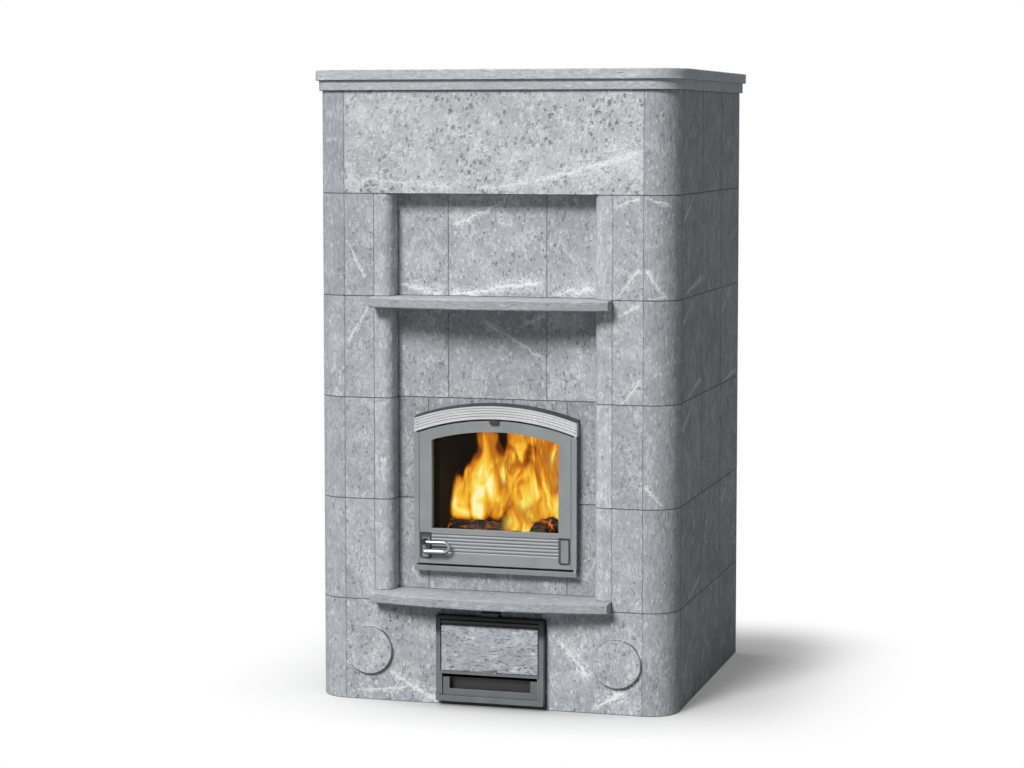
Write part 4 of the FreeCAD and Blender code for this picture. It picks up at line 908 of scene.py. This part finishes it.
ribPlan = {"count": 4, "pitch": 0.0021, "radius": 0.0006, "inset": 0.0045, "topDrop": 0.0045,
           "sink": 0.0005, "around": 12, "nose": [(0.0, 0.30), (0.15, 0.62), (0.45, 0.88), (1.0, 1.0)]}


def plateRibs(material):
    low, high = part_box("handle_escutcheon")
    around, radius = ribPlan["around"], ribPlan["radius"]
    leftEnd, rightEnd = low.x + ribPlan["inset"], high.x - ribPlan["inset"]
    rings = [(leftEnd + step * radius, share) for step, share in ribPlan["nose"]]
    rings += [(rightEnd - step * radius, share) for step, share in reversed(ribPlan["nose"])]
    for rib in range(ribPlan["count"]):
        z = high.z - ribPlan["topDrop"] - rib * ribPlan["pitch"]
        points = []
        for x, share in rings:
            for step in range(around):
                angle = 2 * math.pi * step / around
                points.append((x, low.y + ribPlan["sink"] + share * radius * math.cos(angle),
                               z + share * radius * math.sin(angle)))
        meshPiece("plate_rib_%d" % (rib + 1), points, ringFaces(len(rings), around), material, "fire_door")


plateRibs(finishes["blank_plate"])
print("handle plate ribbed")


# Studio: pale floor, white surround, a soft key lamp, a softer one overhead and a little light all round

studio = {"surround": 0.14, "floorSize": 30.0, "floorDrop": 0.0004, "floorSeen": (0.72, 0.72, 0.72),
          "floorBounce": (0.22, 0.22, 0.22), "floorGlow": 0.12, "fadeFrom": 0.16, "fadeTo": 0.62,
          "nookReach": 0.40, "nookLight": 0.25, "nookShare": 0.62}
pureWhite = (1.0, 1.0, 1.0, 1.0)
fireLamp = {"watts": 0.2, "place": (0.06, -0.14, 0.64), "color": (1.0, 0.42, 0.12), "radius": 0.06}
lampPlan = {  # strength, height and bearing of the lamp in degrees, and how soft it is
    "key_lamp": (2.90, 38.0, -18.0, 20.0),
    "top_lamp": (1.60, 78.0, -70.0, 26.0),
}


def seenDirectly(tree):
    path = put(tree, "LightPath")
    seen = larger(tree, path.outputs["Is Camera Ray"], path.outputs["Is Glossy Ray"])
    return larger(tree, seen, path.outputs["Is Transmission Ray"])


def makeFloor():
    far = studio["floorSize"]
    mesh = bpy.data.meshes.new("studio_floor")
    mesh.from_pydata([(-far, -far, 0), (far, -far, 0), (far, far, 0), (-far, far, 0)], [], [(0, 1, 2, 3)])
    floor = bpy.data.objects.new("studio_floor", mesh)
    floor.location.z = -studio["floorDrop"]
    bpy.context.scene.collection.objects.link(floor)
    material, tree = blankMaterial("pale_floor")
    dull = put(tree, "BsdfDiffuse", {"Color": rgb(studio["floorBounce"])})
    paint = put(tree, "BsdfDiffuse", {"Color": rgb(studio["floorSeen"])})
    glow = put(tree, "Emission", {"Color": pureWhite, "Strength": studio["floorGlow"]})
    lit = put(tree, "AddShader", {0: paint.outputs[0], 1: glow.outputs[0]})
    # the shadow melts into white away from the foot of the heater
    half = Vector((cadBox[1].x, cadBox[1].y, 0.0))
    beyond = vec(tree, "SUBTRACT", vec(tree, "ABSOLUTE", objectPlace(tree)), tuple(half))
    beyond = vec(tree, "MULTIPLY", vec(tree, "MAXIMUM", beyond), (1.0, 1.0, 0.0))
    away = vec(tree, "LENGTH", beyond)
    white = put(tree, "Emission", {"Color": pureWhite, "Strength": 1.0})
    lit = put(tree, "MixShader", {0: rise(tree, away, studio["fadeFrom"], studio["fadeTo"]),
                                  1: lit.outputs[0], 2: white.outputs[0]})
    # and painted contact shade makes it a little darker all along the foot
    nook = put(tree, "AmbientOcclusion", {"Distance": studio["nookReach"]}, samples=8).outputs["AO"]
    nook = times(tree, calc(tree, "SUBTRACT", 1.0, nook), studio["nookShare"])
    dim = put(tree, "Emission", {"Color": pureWhite, "Strength": studio["nookLight"]})
    lit = put(tree, "MixShader", {0: nook, 1: lit.outputs[0], 2: dim.outputs[0]})
    both = put(tree, "MixShader", {0: seenDirectly(tree), 1: dull.outputs[0], 2: lit.outputs[0]})
    put(tree, "OutputMaterial", {"Surface": both.outputs[0]})
    mesh.materials.append(material)


def makeSurround():
    world = bpy.data.worlds.new("studio")
    world.use_nodes = True
    tree = world.node_tree
    tree.nodes.clear()
    soft = put(tree, "Background", {"Color": pureWhite, "Strength": studio["surround"]})
    white = put(tree, "Background", {"Color": pureWhite, "Strength": 1.0})
    both = put(tree, "MixShader", {0: seenDirectly(tree), 1: soft.outputs[0], 2: white.outputs[0]})
    put(tree, "OutputWorld", {"Surface": both.outputs[0]})
    bpy.context.scene.world = world


def makeLamps():
    for name, (strength, height, bearing, spread) in lampPlan.items():
        lamp = bpy.data.objects.new(name, bpy.data.lights.new(name, "SUN"))
        lamp.data.energy = strength
        lamp.data.angle = math.radians(spread)
        height, bearing = math.radians(height), math.radians(bearing)
        source = Vector((math.sin(bearing) * math.cos(height), -math.cos(bearing) * math.cos(height),
                         math.sin(height)))
        lamp.rotation_mode = "QUATERNION"
        lamp.rotation_quaternion = source.to_track_quat("Z", "Y")
        bpy.context.scene.collection.objects.link(lamp)
    fire = bpy.data.objects.new("fire_lamp", bpy.data.lights.new("fire_lamp", "POINT"))
    fire.data.energy = fireLamp["watts"]
    fire.data.color = fireLamp["color"]
    fire.data.shadow_soft_size = fireLamp["radius"]
    fire.location = fireLamp["place"]
    fire.visible_camera = False
    fire.visible_glossy = False
    fire.visible_transmission = False
    bpy.context.scene.collection.objects.link(fire)


makeFloor()
makeSurround()
makeLamps()
print("studio lit")


# Camera where the photograph was taken from

viewpoint = {"place": (2.0509, -7.4830, 1.6969), "yaw": 15.853, "pitch": 4.447, "lens": 88.915,
             "sensor": 36.0, "shift": -0.06}


def makeCamera():
    camera = bpy.data.objects.new("camera", bpy.data.cameras.new("camera"))
    camera.data.lens = viewpoint["lens"]
    camera.data.sensor_width = viewpoint["sensor"]
    camera.data.shift_y = viewpoint["shift"]
    camera.location = viewpoint["place"]
    camera.rotation_euler = (math.radians(90.0 - viewpoint["pitch"]), 0.0, math.radians(viewpoint["yaw"]))
    bpy.context.scene.collection.objects.link(camera)
    bpy.context.scene.camera = camera


makeCamera()
bpy.context.scene.view_settings.view_transform = "Standard"
print("camera set")
